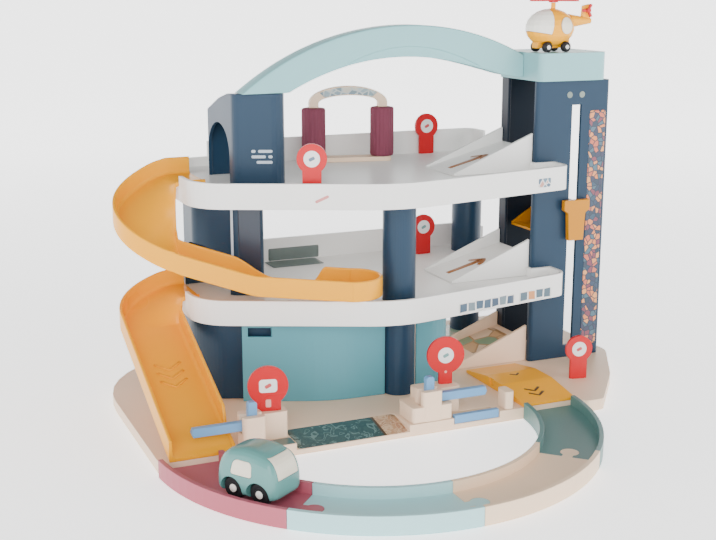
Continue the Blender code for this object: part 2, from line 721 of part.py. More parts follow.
def make_wedge(name, floor, material):
    """A side-walled slope from a floor up to the lift door, open below."""
    x1 = TOWER_LEFT - 2 * GAP
    x0 = x1 - WEDGE_LENGTH
    z = floor + GAP
    top = z + WEDGE_RISE
    wedge = side_slab([(x0, z), (x1, z), (x1, top + WEDGE_SIDE), (x0, z + 3)], WEDGE_FRONT, WEDGE_BACK)
    above = [(x0 - 1, z + 1), (x1 + 1, top), (x1 + 1, top + 2 * WEDGE_SIDE), (x0 - 1, top + 2 * WEDGE_SIDE)]
    start, end = x0 + WEDGE_WALL * WEDGE_LENGTH / WEDGE_RISE, x1 - WEDGE_WALL
    below = [(start, z - 1), (end, z - 1), (end, top - 1.5 * WEDGE_WALL)]
    for room in (above, below):
        cut(wedge, side_slab(room, WEDGE_FRONT + WEDGE_WALL, WEDGE_BACK - WEDGE_WALL))
    show(wedge, name, material)


# Lift tower

def make_tower():
    """The front panel with its slit, and the narrower back panel, with the lift doors between."""
    low, high = BASE_TOP + GAP, TOWER_TOP
    left, right = TOWER_LEFT, TOWER_RIGHT
    front, back = TOWER_FRONT, TOWER_BACK
    inner_left, inner_right = left + TOWER_WALL, right - TOWER_WALL
    inner_front, inner_back = front + TOWER_WALL, back - TOWER_WALL
    side = front + TOWER_RETURN
    outline = rounded([
        (left, front, 4), (right, front, 4), (right, side, 1.5), (inner_right, side, 1.5),
        (inner_right, inner_front, 1), (inner_left, inner_front, 1), (inner_left, DOOR_FRONT, 1),
        (left, DOOR_FRONT, 1)], steps=3)
    panel = slab(outline, low, high)
    half = SLIT_WIDTH / 2
    cut(panel, box(SLIT_X - half, SLIT_X + half, front - 1, inner_front + 1, SLIT_BOTTOM, SLIT_TOP))
    show(panel, "lift_tower_front", plastic("navy", NAVY))
    outline = rounded([
        (left, back, 4), (left, DOOR_BACK, 1), (inner_left, DOOR_BACK, 1), (inner_left, inner_back, 1),
        (BACK_PANEL_RIGHT, inner_back, 1), (BACK_PANEL_RIGHT, back, 1)], steps=3)
    show(slab(outline, low, high), "lift_tower_back", plastic("navy", NAVY))


def make_helipad():
    """The roof of the lift tower, open below inside the tower's walls."""
    low = TOWER_TOP + GAP
    front, back = TOWER_FRONT - HELIPAD_OVERHANG, TOWER_BACK + HELIPAD_OVERHANG / 2
    right = TOWER_RIGHT - HELIPAD_OVERHANG
    outline = rounded([(HELIPAD_LEFT, front, 8), (right, front, 16), (right, back, 16),
                       (HELIPAD_LEFT, back, 8)], steps=5)
    pad = slab(outline, low, low + HELIPAD_HEIGHT)
    wall = TOWER_WALL
    cut(pad, box(TOWER_LEFT + wall, right - wall, TOWER_FRONT + wall, TOWER_BACK - wall,
                 low - 1, low + HELIPAD_HEIGHT - HELIPAD_PLATE))
    show(pad, "helipad", plastic("pale_blue", PALE_BLUE))


def make_arch():
    """The bridge from the top gate to the helipad: a channel, open below, cut flat on the gate."""
    x, z, radius = ARCH_CROWN_X, ARCH_TOP - ARCH_CROWN_RADIUS, ARCH_CROWN_RADIUS
    back = ARCH_FRONT + ARCH_DEPTH

    def bend(depth, low):
        """The arch's side view, depth below its crown and low below its underside."""
        crown = arc(x, z, radius - depth, 40, 140, 40)
        under = arc(x - ARCH_SHIFT, z - ARCH_SHIFT, radius - ARCH_THICK - low, 40, 140, 40)
        return crown + under[::-1]

    bridge = side_slab(bend(0, 0), ARCH_FRONT, back)
    cut(bridge, side_slab(bend(ARCH_WALL, ARCH_WALL), ARCH_FRONT + ARCH_WALL, back - ARCH_WALL))
    cut(bridge, box(x - radius, x, ARCH_FRONT - 1, back + 1, 0, GATE_TOP + GAP))
    cut(bridge, box(HELIPAD_LEFT - GAP, x + radius, ARCH_FRONT - 1, back + 1, 0, ARCH_TOP))
    show(bridge, "arch_bridge", plastic("pale_blue", PALE_BLUE))


# Left side: curved wall at the ground, then a gate on each deck

def make_ground_walls():
    """The navy wall round the left end and the teal wall behind the front edge."""
    low = BASE_TOP + GAP
    high = DECK_HEIGHTS[0] - DECK_PLATE - GAP
    x = DECK_LEFT + DECK_WALL + LEFT_WALL - 1
    path = rounded([(*LEFT_WALL_FOOT, 0), LEFT_WALL_BEND, (x, *LEFT_WALL_KNEE),
                    (x, DECK_BACK - DECK_BACK_RADIUS, 0)], False, 12)
    show(slab(ribbon(path, LEFT_WALL), low, high), "left_wall", plastic("navy", NAVY))
    px, py = FRONT_PILLAR
    reach = PILLAR_RADIUS + 1
    py -= FRONT_WALL_SET_BACK
    path = rounded([*FRONT_WALL, (px - reach, py, 0)], False)
    wall = slab(ribbon(path, GROUND_WALL), low, high)
    top = high - WINDOW_DROP + WINDOW_HEIGHT
    cut(wall, box(WINDOW_LEFT, WINDOW_LEFT + WINDOW_WIDTH, py, py + 2 * PILLAR_RADIUS + WINDOW_WIDTH,
                  high - WINDOW_DROP, top))
    show(wall, "ground_wall_left", plastic("teal", TEAL))
    path = rounded([(px + reach, py, 0), (SIDE_WALL_X, py - FRONT_WALL_SET_BACK, SIDE_WALL_RADIUS),
                    (SIDE_WALL_END, WEDGE_FRONT, 0)], False)
    show(slab(ribbon(path, GROUND_WALL), low, high), "ground_wall_right", plastic("teal", TEAL))


def make_gate(corners, low, high, passage, roof):
    """A hollow tower section below a roof line, with a passage for cars from left to right."""
    outline = rounded(corners, steps=5)
    gate, room = slab(outline, low, high), slab(inset(outline, GATE_WALL), low - 1, high + 1)
    left, right = DECK_LEFT, corners[-1][0] + PASSAGE_WIDTH
    for shape, drop in ((gate, 0), (room, GATE_WALL)):
        line = rounded([(y, high - fall - drop, radius) for y, fall, radius in roof], steps=5)
        line += [(roof[-1][0], low - 2), (roof[0][0], low - 2)]
        if roof:
            keep(shape, front_slab(line, left, right))
    radius = PASSAGE_WIDTH / 2
    middle = PASSAGE_FRONT + radius
    tunnel = [(PASSAGE_FRONT, low - 1), (PASSAGE_FRONT + PASSAGE_WIDTH, low - 1)]
    tunnel += arc(middle, low + passage - radius, radius, 0, 180, 16)
    return cut(gate, room, front_slab(tunnel, left, right))


def make_gates():
    """The gate between the decks, and the one on the top deck with a roof that falls back."""
    navy = plastic("navy", NAVY)
    open_top = [(y, -DECK_PLATE, 0) for y, _, _ in ROOF_CREST[::3]]
    low, high = DECK_HEIGHTS[0] + GAP, DECK_HEIGHTS[1] - DECK_PLATE - GAP
    show(make_gate(MIDDLE_GATE, low, high, MIDDLE_PASSAGE, open_top), "middle_gate", navy)
    low, high = DECK_HEIGHTS[1] + GAP, GATE_TOP
    show(make_gate(TOP_GATE, low, high, TOP_PASSAGE, ROOF_CREST), "top_gate", navy)


def make_pillars():
    """Front and rear pillars on each level."""
    places = {"front": (*FRONT_PILLAR, PILLAR_RADIUS)}
    places.update({name: (*place, REAR_PILLAR_RADIUS) for name, place in REAR_PILLARS.items()})
    floors = (BASE_TOP, *DECK_HEIGHTS)
    for floor, above, level in zip(floors, DECK_HEIGHTS, ("lower", "upper")):
        low, high = floor + GAP, above - DECK_PLATE - GAP
        for name, (x, y, radius) in places.items():
            middle = (x, y, (low + high) / 2)
            pillar = rod(middle, "Z", radius, high - low, 40)
            cut(pillar, rod(middle, "Z", radius - PILLAR_WALL, high - low + 2, 40))
            show(pillar, f"{name}_pillar_{level}", plastic("navy", NAVY))


# Ramps

def falling(stations, heights):
    """Give a route its underside heights from (distance, height) stops."""
    points = []
    for x, y, heading, far in stations:
        z = heights[-1][1]
        for (s0, z0), (s1, z1) in zip(heights, heights[1:]):
            if s0 <= far <= s1:
                z = z0 + (z1 - z0) * (far - s0) / (s1 - s0)
                break
        points.append((x, y, z, heading))
    return points


def make_upper_ramp():
    """From the top deck round its left end, then along the front edge to a round end stop."""
    z = DECK_HEIGHTS[1] + GAP
    rest = DECK_HEIGHTS[0] + RIM + GAP
    lead = UPPER_ENTRY_X - RAMP_TURN_X
    sweep = 180 + UPPER_HEADING
    curl = math.radians(sweep) * RAMP_TURN
    pieces = ((lead, 0), (RAMP_TURN, sweep), (UPPER_RUN, 0))
    way = route(UPPER_ENTRY_X, UPPER_TURN_Y + RAMP_TURN, 180, pieces)
    drop = z - rest
    last = 0.07 * drop
    heights = ((0, z), (lead, z), (lead + curl / 2, z - 0.33 * drop), (lead + curl, z - 0.7 * drop),
               (lead + curl + UPPER_RUN * 0.45, rest + last), (lead + curl + UPPER_RUN, rest + GAP))
    ramp = channel(falling(way, heights), RAMP_WIDTH, RAMP_HEIGHT, RAMP_FLOOR, RAMP_WALL)
    # Cars leave through a gap in the inner wall, just before the end stop
    half = RAMP_WIDTH / 2
    end = Vector(way[-1][:2])
    heading = math.radians(UPPER_HEADING)
    along = Vector((math.cos(heading), math.sin(heading)))
    x, y = end - along * RAMP_GAP_BACK
    long, wide = RAMP_GAP_LENGTH / 2, 3 * RAMP_WALL
    slope = (last - GAP) / (0.55 * UPPER_RUN)
    low, high = (rest + RAMP_FLOOR + 1 + slope * (RAMP_GAP_BACK + far) for far in (-long, long))
    sill = [(x - long, high), (x + long, low), (x + long, z), (x - long, z)]
    gap = side_slab(sill, y + half - wide, y + half + wide)
    cut(ramp, turned_about(gap, UPPER_HEADING, (x, y)))
    # The round part starts just past the channel's end, so that their faces don't meet in a line
    end += along
    cup = end_cup(end, half + GAP, CUP_REACH, rest, rest + RAMP_HEIGHT + CUP_RISE)
    cut(cup, end_cup(end, half - RAMP_WALL + GAP, CUP_REACH + 6, rest + RAMP_FLOOR, z))
    join(ramp, cup)
    show(ramp, "upper_ramp", plastic("yellow", YELLOW))


def end_cup(centre, radius, back, low, high):
    """A half disc at the end of the upper ramp, with straight sides that reach back along it."""
    heading = math.radians(UPPER_HEADING)
    along = Vector((math.cos(heading), math.sin(heading)))
    across = Vector((-along.y, along.x)) * radius
    root = centre - along * back
    round_end = arc(*centre, radius, UPPER_HEADING - 90, UPPER_HEADING + 90, 24)
    return slab(round_end + [tuple(root + across), tuple(root - across)], low, high)


def make_lower_ramp():
    """From the middle deck round its left end and straight down to the ring road."""
    z = DECK_HEIGHTS[0] + GAP
    lead = LOWER_ENTRY_X - RAMP_TURN_X
    curl = math.pi / 2 * RAMP_TURN
    run = LOWER_TURN_Y - BASE_FRONT - GAP
    pieces = ((lead, 0), (RAMP_TURN, 90), (run, 0))
    way = route(LOWER_ENTRY_X, LOWER_TURN_Y + RAMP_TURN, 180, pieces)
    heights = ((0, z), (lead, z), (lead + curl, z - 32), (lead + curl + run, BASE_TOP + GAP))
    ramp = channel(falling(way, heights), RAMP_WIDTH, RAMP_HEIGHT, RAMP_FLOOR, RAMP_WALL)
    # The inner wall stops before the barrier, which closes the ramp's mouth
    inner = way[-1][0] + RAMP_WIDTH / 2
    mouth = BARRIER_Y + 24
    cut(ramp, box(inner - 6, inner + 6, BASE_FRONT - 9, mouth, PIVOT_Z - 1.3 * BARRIER_BAR, z))
    show(ramp, "lower_ramp", plastic("yellow", YELLOW))


# Ring road

def keyhole(angle, grow):
    """The plan of a jigsaw tab that points along the ring past a seam."""
    middle = RING_OUTER - ROAD_WIDTH / 2
    a = math.radians(angle)
    seam = Vector((RING_X + middle * math.cos(a), RING_Y + middle * math.sin(a)))
    along = Vector((-math.sin(a), math.cos(a)))
    across = Vector((math.cos(a), math.sin(a)))
    radius = TAB_RADIUS + grow
    neck = TAB_NECK / 2 + grow
    start = math.degrees(math.asin(neck / radius))
    ring = arc(TAB_REACH, 0, radius, start - 180, 180 - start, 20)
    root = -TAB_ROOT if grow == 0 else -1.0
    shape = [(root, -neck)] + ring + [(root, neck)]
    return [tuple(seam + along * u + across * v) for u, v in shape]


def make_ring():
    """Four road pieces, each with a tab that plugs into the next one."""
    materials = (plastic("plum", PLUM), plastic("pale_blue", PALE_BLUE),
                 plastic("cream", CREAM, 0.5), plastic("green", GREEN))
    middle = RING_OUTER - ROAD_WIDTH / 2
    play = math.degrees(GAP / middle)
    names = ("plum", "blue", "cream", "green")
    seams = list(zip(RING_SEAM_ANGLES, RING_SEAM_ANGLES[1:]))
    for index, ((a, b), name, material) in enumerate(zip(seams, names, materials)):
        start = arc(RING_X, RING_Y, middle, a + play, b, 1)[0]
        way = route(*start, a + play + 90, ((middle, b - a - play),))
        path = falling(way, ((0, 0.0), (999, 0.0)))
        road = channel(path, ROAD_WIDTH, ROAD_HEIGHT, ROAD_FLOOR, ROAD_WALL)
        if index < 3:
            join(road, slab(keyhole(b, 0.0), 0, ROAD_FLOOR))
        if index > 0:
            cut(road, slab(keyhole(a, GAP), -1, ROAD_FLOOR + 1))
        if index in (0, 3):
            cut(road, box(RING_X - RING_OUTER - 1, RING_X + RING_OUTER + 1, BASE_FRONT - GAP,
                          RING_Y + RING_OUTER, -1, ROAD_HEIGHT + 1))
        show(road, f"road_{name}", material)


# Lift car

def make_lift_car():
    """A tray that is low towards the door, and its handle through the tower's slit."""
    x0, x1, z = LIFT_LEFT, LIFT_RIGHT, LIFT_FLOOR
    y0, y1 = LIFT_FRONT, LIFT_BACK
    under, top = z - 9, z + LIFT_SIDE
    sides = [(x0, z), (x0 + 32, under), (x1, under), (x1, top), (x0 + 36, top - 4), (x0, z + 4)]
    tray = side_slab(sides, y0, y1)
    end = x1 - LIFT_WALL
    room = [(x0 - 1, z + LIFT_WALL), (end, z + LIFT_WALL), (end, top + 9), (x0 - 1, top + 9)]
    cut(tray, side_slab(room, y0 + LIFT_WALL, y1 - LIFT_WALL))
    half = SLIT_WIDTH / 2 - GAP
    grip_y = TOWER_FRONT - HANDLE_CLEARANCE
    stem = box(SLIT_X - half, SLIT_X + half, grip_y - HANDLE_THICK / 2, y0 + 1, z + 6, z + 22)
    wide, shaft, tip = HANDLE_HALF, HANDLE_STEM_HALF, HANDLE_TIP_HALF
    right = [(tip, -10), (shaft, 26), (wide, 30), (wide, 43)]
    grip = [(SLIT_X + a, z + b) for a, b in right] + [(SLIT_X - a, z + b) for a, b in right[::-1]]
    join(tray, stem, side_slab(grip, grip_y - HANDLE_THICK, grip_y))
    show(tray, "lift_car", plastic("lift_yellow", LIFT_YELLOW))


# Car wash on the top deck

def wash_post(side):
    """Where a roller's post stands: side is -1 or 1."""
    a = math.radians(WASH_TURN)
    far = side * WASH_SPAN / 2
    return WASH_X + far * math.cos(a), WASH_Y + far * math.sin(a)


def wash_arch_outline(low, half, rise):
    """One edge of the arch: up a leg, over and down the other."""
    points = [(WASH_X + half, low)]
    for i in range(19):
        a = math.pi * i / 18
        points.append((WASH_X + half * math.cos(a), low + WASH_FOOT + rise * math.sin(a)))
    return points + [(WASH_X - half, low)]


def make_car_wash():
    """A foot strip with two posts, a turning roller on each and an arch across their tops."""
    z = DECK_HEIGHTS[1] + GAP
    foot_top = z + WASH_FOOT
    roller_low = foot_top + GAP
    roller_top = roller_low + ROLLER_HEIGHT
    middle = (roller_low + roller_top) / 2
    long, wide = WASH_SPAN / 2 + WASH_FOOT_HALF, WASH_FOOT_HALF
    corners = ((WASH_X - long, WASH_Y - wide), (WASH_X + long, WASH_Y - wide),
               (WASH_X + long, WASH_Y + wide), (WASH_X - long, WASH_Y + wide))
    strip = slab(rounded([(x, y, 8) for x, y in corners]), z, foot_top)
    turned_about(strip, WASH_TURN, (WASH_X, WASH_Y))
    arch_low = roller_top + GAP
    post_low, post_top = foot_top - 2, arch_low + WASH_FOOT
    places = {"left": wash_post(-1), "right": wash_post(1)}
    for x, y in places.values():
        join(strip, rod((x, y, (post_low + post_top) / 2), "Z", POST_RADIUS, post_top - post_low, 20))
    show(strip, "wash_foot", plastic("cream", CREAM, 0.5))
    for end, (x, y) in places.items():
        roller = rod((x, y, middle), "Z", ROLLER_RADIUS, ROLLER_HEIGHT, 32)
        cut(roller, rod((x, y, middle), "Z", POST_RADIUS + PLAY, ROLLER_HEIGHT + 9, 20))
        show(roller, "wash_roller_" + end, plastic("roller_plum", ROLLER_PLUM))
        on_axis(roller, (x, y, middle))
    half = WASH_SPAN / 2
    outer = wash_arch_outline(arch_low, half + WASH_ARCH_HALF, WASH_ARCH_RISE)
    inner = wash_arch_outline(arch_low, half - WASH_ARCH_HALF, WASH_ARCH_RISE - 2 * WASH_ARCH_HALF)
    arch = side_slab(outer + inner[::-1], WASH_Y - WASH_ARCH_HALF, WASH_Y + WASH_ARCH_HALF)
    turned_about(arch, WASH_TURN, (WASH_X, WASH_Y))
    for x, y in places.values():
        cut(arch, rod((x, y, arch_low), "Z", POST_RADIUS + GAP, 2 * (WASH_FOOT + 1), 20))
    show(arch, "wash_arch", plastic("cream", CREAM, 0.5))


# Toy car

def car_place():
    """The car's frame: it stands on the ring road with its nose along the lane."""
    middle = RING_OUTER - ROAD_WIDTH / 2 - CAR_INSET
    a = math.radians(CAR_RING_ANGLE)
    spot = Vector((RING_X + middle * math.cos(a), RING_Y + middle * math.sin(a), ROAD_FLOOR + GAP))
    return Matrix.Translation(spot * MM) @ Matrix.Rotation(a + math.pi / 2, 4, "Z")


def car_form():
    """The rounded outer form of the body, nose along +X, standing on z = 0."""
    work = bmesh.new()
    bmesh.ops.create_cube(work, size=1.0)
    bmesh.ops.subdivide_edges(work, edges=work.edges, cuts=2, use_grid_fill=True)
    low, high = 6.0, CAR_HEIGHT
    for vertex in work.verts:
        # u, v and w run from -1 to 1 along, across and up the cage
        u, v, w = (2 * c for c in vertex.co)
        cabin, top = abs(u) < 0.5, w > 0.5
        roof = 0.80 if top else 1.0
        height = low + (high - low) * (w + 1) / 2 * (1.0 if cabin else 0.84)
        lift = 5.0 if top else 0.0
        far = u * CAR_LENGTH / 2 * 1.18 * (0.85 if top and not cabin else 1.0)
        vertex.co = Vector((far, v * CAR_WIDTH / 2 * 1.16 * roof, height + lift)) * MM
    form = from_bmesh(work)
    smooth = form.modifiers.new("subdivision", "SUBSURF")
    smooth.levels = smooth.render_levels = 2
    return apply_modifiers(form)


def make_car():
    """Body, windows that run across the cabin, a windscreen and two turning wheel sets."""
    form = car_form()
    body = copy_of(form)
    place = car_place()
    long, high = CAR_LENGTH, CAR_HEIGHT
    side_glass = rounded([(-0.27 * long, 0.57 * high, 3), (0.16 * long, 0.57 * high, 3),
                          (0.14 * long, 0.88 * high, 5), (-0.22 * long, 0.88 * high, 6)], steps=3)
    windows = keep(copy_of(form), side_slab(inset(side_glass, GAP), -CAR_WIDTH, CAR_WIDTH))
    cut(body, side_slab(side_glass, -CAR_WIDTH, CAR_WIDTH))
    sill, brow = 0.57 * high, 0.99 * high
    screen = [(0.28 * long, sill), (long, sill), (long, brow), (0.28 * long, brow)]
    glass = keep(form, side_slab(inset(screen, GAP), -SCREEN_HALF, SCREEN_HALF))
    cut(body, side_slab(screen, -SCREEN_HALF - GAP, SCREEN_HALF + GAP))
    outer = CAR_WIDTH / 2 + 6
    inner = CAR_WIDTH / 2 - CAR_WHEEL_WIDTH - 2
    axles = {"front": CAR_WHEELBASE / 2, "rear": -CAR_WHEELBASE / 2}
    for x in axles.values():
        for side in (-1, 1):
            middle = (x, side * (outer + inner) / 2, CAR_WHEEL_RADIUS)
            cut(body, rod(middle, "Y", CAR_WHEEL_RADIUS + 2.5 * PLAY, outer - inner, 28))
        cut(body, rod((x, 0, CAR_WHEEL_RADIUS), "Y", AXLE_RADIUS + PLAY, CAR_WIDTH, 16))
    show(body, "car_body", plastic("car_teal", CAR_TEAL))
    show(windows, "car_windows", plastic("cream", CREAM, 0.5))
    show(glass, "car_windscreen", plastic("cream", CREAM, 0.5))
    for thing in (body, windows, glass):
        thing.data.transform(place)
    for end, x in axles.items():
        wheels = wheel_set(CAR_WHEEL_RADIUS, CAR_WHEEL_WIDTH, CAR_WIDTH - 1)
        show(wheels, f"car_{end}_wheels", plastic("black", BLACK, 0.6))
        spin_axle(wheels, place, Vector((x, 0, CAR_WHEEL_RADIUS)))


def wheel_set(radius, width, span):
    """Two wheels on one axle, turned about Z and centred on it."""
    half = span / 2
    profile = [(0, half), (radius * 0.45, half), (radius * 0.5, half - 1), (radius - 1.5, half - 0.5),
               (radius, half - 2), (radius, half - width + 1), (radius - 1, half - width),
               (AXLE_RADIUS, half - width)]
    return lathe(profile + [(r, -z) for r, z in profile[::-1]], 20)


def spin_axle(wheels, place, centre):
    """Lay a wheel set across and put its origin on its axle."""
    wheels.data.transform(Matrix.Rotation(math.pi / 2, 4, "X"))
    wheels.matrix_world = place @ Matrix.Translation(centre * MM)


# Helicopter

def make_helicopter():
    """Egg-shaped body with a tail, a white nose, two rotors and two wheel sets."""
    ground = TOWER_TOP + HELIPAD_HEIGHT + 2 * GAP
    place = Matrix.Translation(Vector((HELI_X, HELI_Y, ground)) * MM)
    place = place @ Matrix.Rotation(math.radians(HELI_HEADING), 4, "Z")
    egg = ball(EGG_MIDDLE, EGG_HALF, 11)
    wide = EGG_HALF[1] + 1
    nose = keep(copy_of(egg), side_slab(inset(list(SCREEN_VIEW), GAP), -wide, wide))
    body = cut(egg, side_slab(SCREEN_VIEW, -wide, wide))
    boom = rod(BOOM_MIDDLE, "X", BOOM_TIP, BOOM_LENGTH, 20, BOOM_ROOT)
    fin = side_slab(FIN_VIEW, -FIN_HALF, FIN_HALF)
    mast = rod((0, 0, MAST_TOP - 5), "Z", 3.0, 10, 20)
    join(body, boom, fin, mast)
    strut = box(STRUT_BACK, STRUT_FRONT, -STRUT_HALF, STRUT_HALF, STRUT_LOW, STRUT_HIGH)
    for x in HELI_WHEELS.values():
        cut(body, rod((x, 0, HELI_WHEEL), "Y", HELI_WHEEL + 1.2, 2 * HELI_TRACK, 24))
        cut(strut, rod((x, 0, HELI_WHEEL), "Y", AXLE_RADIUS + PLAY, HELI_TRACK, 16))
    join(body, strut)
    show(body, "helicopter_body", plastic("yellow", YELLOW))
    show(nose, "helicopter_windscreen", plastic("white", WHITE))
    for thing in (body, nose):
        thing.data.transform(place)
    for end, x in HELI_WHEELS.items():
        wheels = wheel_set(HELI_WHEEL, 7, HELI_TRACK)
        show(wheels, f"helicopter_{end}_wheels", plastic("black", BLACK, 0.6))
        spin_axle(wheels, place, Vector((x, 0, HELI_WHEEL)))
    top = Matrix.Translation(Vector((0, 0, MAST_TOP + ROTOR_THICK / 2 + GAP)) * MM)
    make_rotor("helicopter_main_rotor", ROTOR_REACH, 9, 6, place @ top)
    spot = (TAIL_ROTOR_X, FIN_HALF + ROTOR_THICK / 2 + GAP, TAIL_ROTOR_Z)
    side = Matrix.Translation(Vector(spot) * MM)
    make_rotor("helicopter_tail_rotor", TAIL_ROTOR_REACH, 4, 3, place @ side @ FACING_FRONT)


def make_rotor(name, reach, width, hub_radius, place):
    """A hub with three flat blades."""
    hub = rod((0, 0, 0), "Z", hub_radius, ROTOR_THICK, 24)
    start = hub_radius * 0.5
    corner = width * 0.3
    outline = rounded([(start, 0.8 - width / 2, 0), (reach, -width / 2, corner),
                       (reach, width / 2, corner), (start, width / 2 - 0.8, 0)], steps=3)
    for i in range(3):
        blade = slab(outline, -1, 1)
        blade.data.transform(Matrix.Rotation(2 * math.pi * i / 3, 4, "Z"))
        join(hub, blade)
    show(hub, name, plastic("red", RED))
    hub.matrix_world = place


make_base()
make_blocks()
make_barriers()
make_lane_edge()
make_exit_tile()
make_signs()
for deck_level in (0, 1):
    make_deck(deck_level)
make_wedge("base_lift_wedge", BASE_TOP, plastic("cream", CREAM, 0.5))
make_wedge("floor_1_lift_wedge", DECK_HEIGHTS[0], plastic("white", WHITE))
make_wedge("floor_2_lift_wedge", DECK_HEIGHTS[1], plastic("white", WHITE))
make_tower()
make_helipad()
make_arch()
make_ground_walls()
make_gates()
make_pillars()
make_upper_ramp()
make_lower_ramp()
make_ring()
make_lift_car()
make_car_wash()
make_car()
make_helicopter()
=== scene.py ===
"""Looks of the toy parking garage: moulded plastic parts, printed labels and small fittings.

Lengths inside a section are in millimetres, in the CAD's frame, and become metres in the meshes.
"""
import math

import bpy
import numpy as np
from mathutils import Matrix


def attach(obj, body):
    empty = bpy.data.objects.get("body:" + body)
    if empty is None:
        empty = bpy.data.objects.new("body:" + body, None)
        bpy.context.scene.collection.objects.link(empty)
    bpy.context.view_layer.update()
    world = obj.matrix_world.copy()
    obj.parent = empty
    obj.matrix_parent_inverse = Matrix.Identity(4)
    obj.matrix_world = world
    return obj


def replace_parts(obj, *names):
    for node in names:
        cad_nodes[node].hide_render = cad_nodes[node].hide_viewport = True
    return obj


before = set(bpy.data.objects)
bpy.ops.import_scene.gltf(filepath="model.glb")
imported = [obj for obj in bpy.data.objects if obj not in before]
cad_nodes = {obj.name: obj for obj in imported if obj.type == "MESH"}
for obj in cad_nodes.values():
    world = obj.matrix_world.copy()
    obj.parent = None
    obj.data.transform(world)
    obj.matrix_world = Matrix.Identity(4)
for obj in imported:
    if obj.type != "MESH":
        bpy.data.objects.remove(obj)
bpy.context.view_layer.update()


# Base plate, barrier blocks, base wedge, lane post and car wash
# Cream polypropylene, injection moulded in one colour, with a fine spark-eroded grain that
# spreads the highlights. The plate carries everything else, and the small parts clip into it.

def linear(colour):
    """An sRGB colour written as #RRGGBB, turned to linear values with an alpha of 1."""
    parts = [int(colour[i:i + 2], 16) / 255 for i in (1, 3, 5)]
    return [p / 12.92 if p <= 0.04045 else ((p + 0.055) / 1.055) ** 2.4 for p in parts] + [1.0]


def add(tree, kind, settings=(), links=()):
    """Add a shader node, set its properties or socket values, and link (node, output) to inputs."""
    made = tree.nodes.new(kind)
    for key, value in dict(settings).items():
        if isinstance(key, str) and hasattr(made, key):
            setattr(made, key, value)
        else:
            made.inputs[key].default_value = value
    for key, (source, output) in dict(links).items():
        tree.links.new(source.outputs[output], made.inputs[key])
    return made


def moulded(name, colour, roughness, grain, coat=0.0):
    """Injection-moulded plastic: slight drift of tone, sink marks, and a fine mould grain."""
    # Noise cells per metre: the tone drifts over 140 mm, sink marks lie 45 mm apart, and the
    # grain is 1.2 mm, coarser than the real one so that it shows
    drift_scale, sink_scale, grain_scale = 7.0, 22.0, 850.0
    edge_radius = 0.0012
    sink_depth = 0.0012
    grain_depth = 0.0002
    material = bpy.data.materials.new(name)
    material.use_nodes = True
    tree = material.node_tree
    shader = tree.nodes["Principled BSDF"]
    shader.inputs["IOR"].default_value = 1.49
    shader.inputs["Specular IOR Level"].default_value = 0.3
    shader.inputs["Coat Weight"].default_value = coat
    shader.inputs["Coat Roughness"].default_value = 0.12
    place = add(tree, "ShaderNodeTexCoord")
    drift = add(tree, "ShaderNodeTexNoise", {"Scale": drift_scale, "Detail": 3.0},
                {"Vector": (place, "Object")})
    shade = linear(colour)
    deep = [c * 0.93 for c in shade[:3]] + [1.0]
    light = [min(c * 1.04, 1.0) for c in shade[:3]] + [1.0]
    tone = add(tree, "ShaderNodeMix", {"data_type": "RGBA", 6: deep, 7: light}, {0: (drift, "Fac")})
    tree.links.new(tone.outputs[2], shader.inputs["Base Color"])
    polished, worn = roughness - 0.05, roughness + 0.06
    spread = add(tree, "ShaderNodeMapRange",
                 {"From Min": 0.3, "From Max": 0.7, "To Min": polished, "To Max": worn},
                 {"Value": (drift, "Fac")})
    tree.links.new(spread.outputs["Result"], shader.inputs["Roughness"])
    soft = add(tree, "ShaderNodeBevel", {"samples": 4, "Radius": edge_radius})
    sink = add(tree, "ShaderNodeTexNoise", {"Scale": sink_scale, "Detail": 1.0},
               {"Vector": (place, "Object")})
    wave = add(tree, "ShaderNodeBump", {"Strength": 0.10, "Distance": sink_depth},
               {"Height": (sink, "Fac"), "Normal": (soft, "Normal")})
    fine = add(tree, "ShaderNodeTexNoise", {"Scale": grain_scale, "Detail": 2.0},
               {"Vector": (place, "Object")})
    bumps = add(tree, "ShaderNodeBump", {"Strength": 0.10 * grain, "Distance": grain_depth},
                {"Height": (fine, "Fac"), "Normal": (wave, "Normal")})
    tree.links.new(bumps.outputs["Normal"], shader.inputs["Normal"])
    return material


def dress(material, *names):
    """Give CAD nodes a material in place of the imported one."""
    for name in names:
        thing = cad_nodes[name]
        thing.data.materials.clear()
        thing.data.materials.append(material)


cream = moulded("cream_polypropylene", "#F7D8BB", 0.42, 0.8)
dress(cream, "base_plate", "barrier_block_left", "barrier_block_centre", "lane_post",
      "base_lift_wedge", "wash_foot", "wash_arch")


# Decks and their wedges
# White polypropylene trays with a skirt and rims, moulded with a satin face. They sit on the
# pillars, and the wedges lie in the trays in front of the lift's door.

white = moulded("white_polypropylene", "#F5F4F1", 0.36, 0.6)
dress(white, "floor_1", "floor_2", "floor_1_lift_wedge", "floor_2_lift_wedge")


# Tower, gates, pillars and left wall
# Navy ABS, moulded with a low gloss. The tower is two panels, a front with the slit for the
# lift's handle and a back in a darker navy that is painted shade, and the pillars are tubes that
# stand between the decks.

navy = moulded("navy_abs", "#1C364C", 0.34, 0.5)
# Painted shade: the back panel is the same navy as the front, made darker for the shadow in the shaft
dress(moulded("navy_abs_painted_shade", "#101D2B", 0.40, 0.5), "lift_tower_back")
dress(navy, "lift_tower_front", "left_wall", "middle_gate", "top_gate",
      *[name for name in cad_nodes if "pillar" in name])


# Helipad, teal walls and road pieces
# Pale and mid blues, plum, cream and green polypropylene, each moulded in one colour. The road
# pieces plug into each other with jigsaw tabs and lie flat on the table.

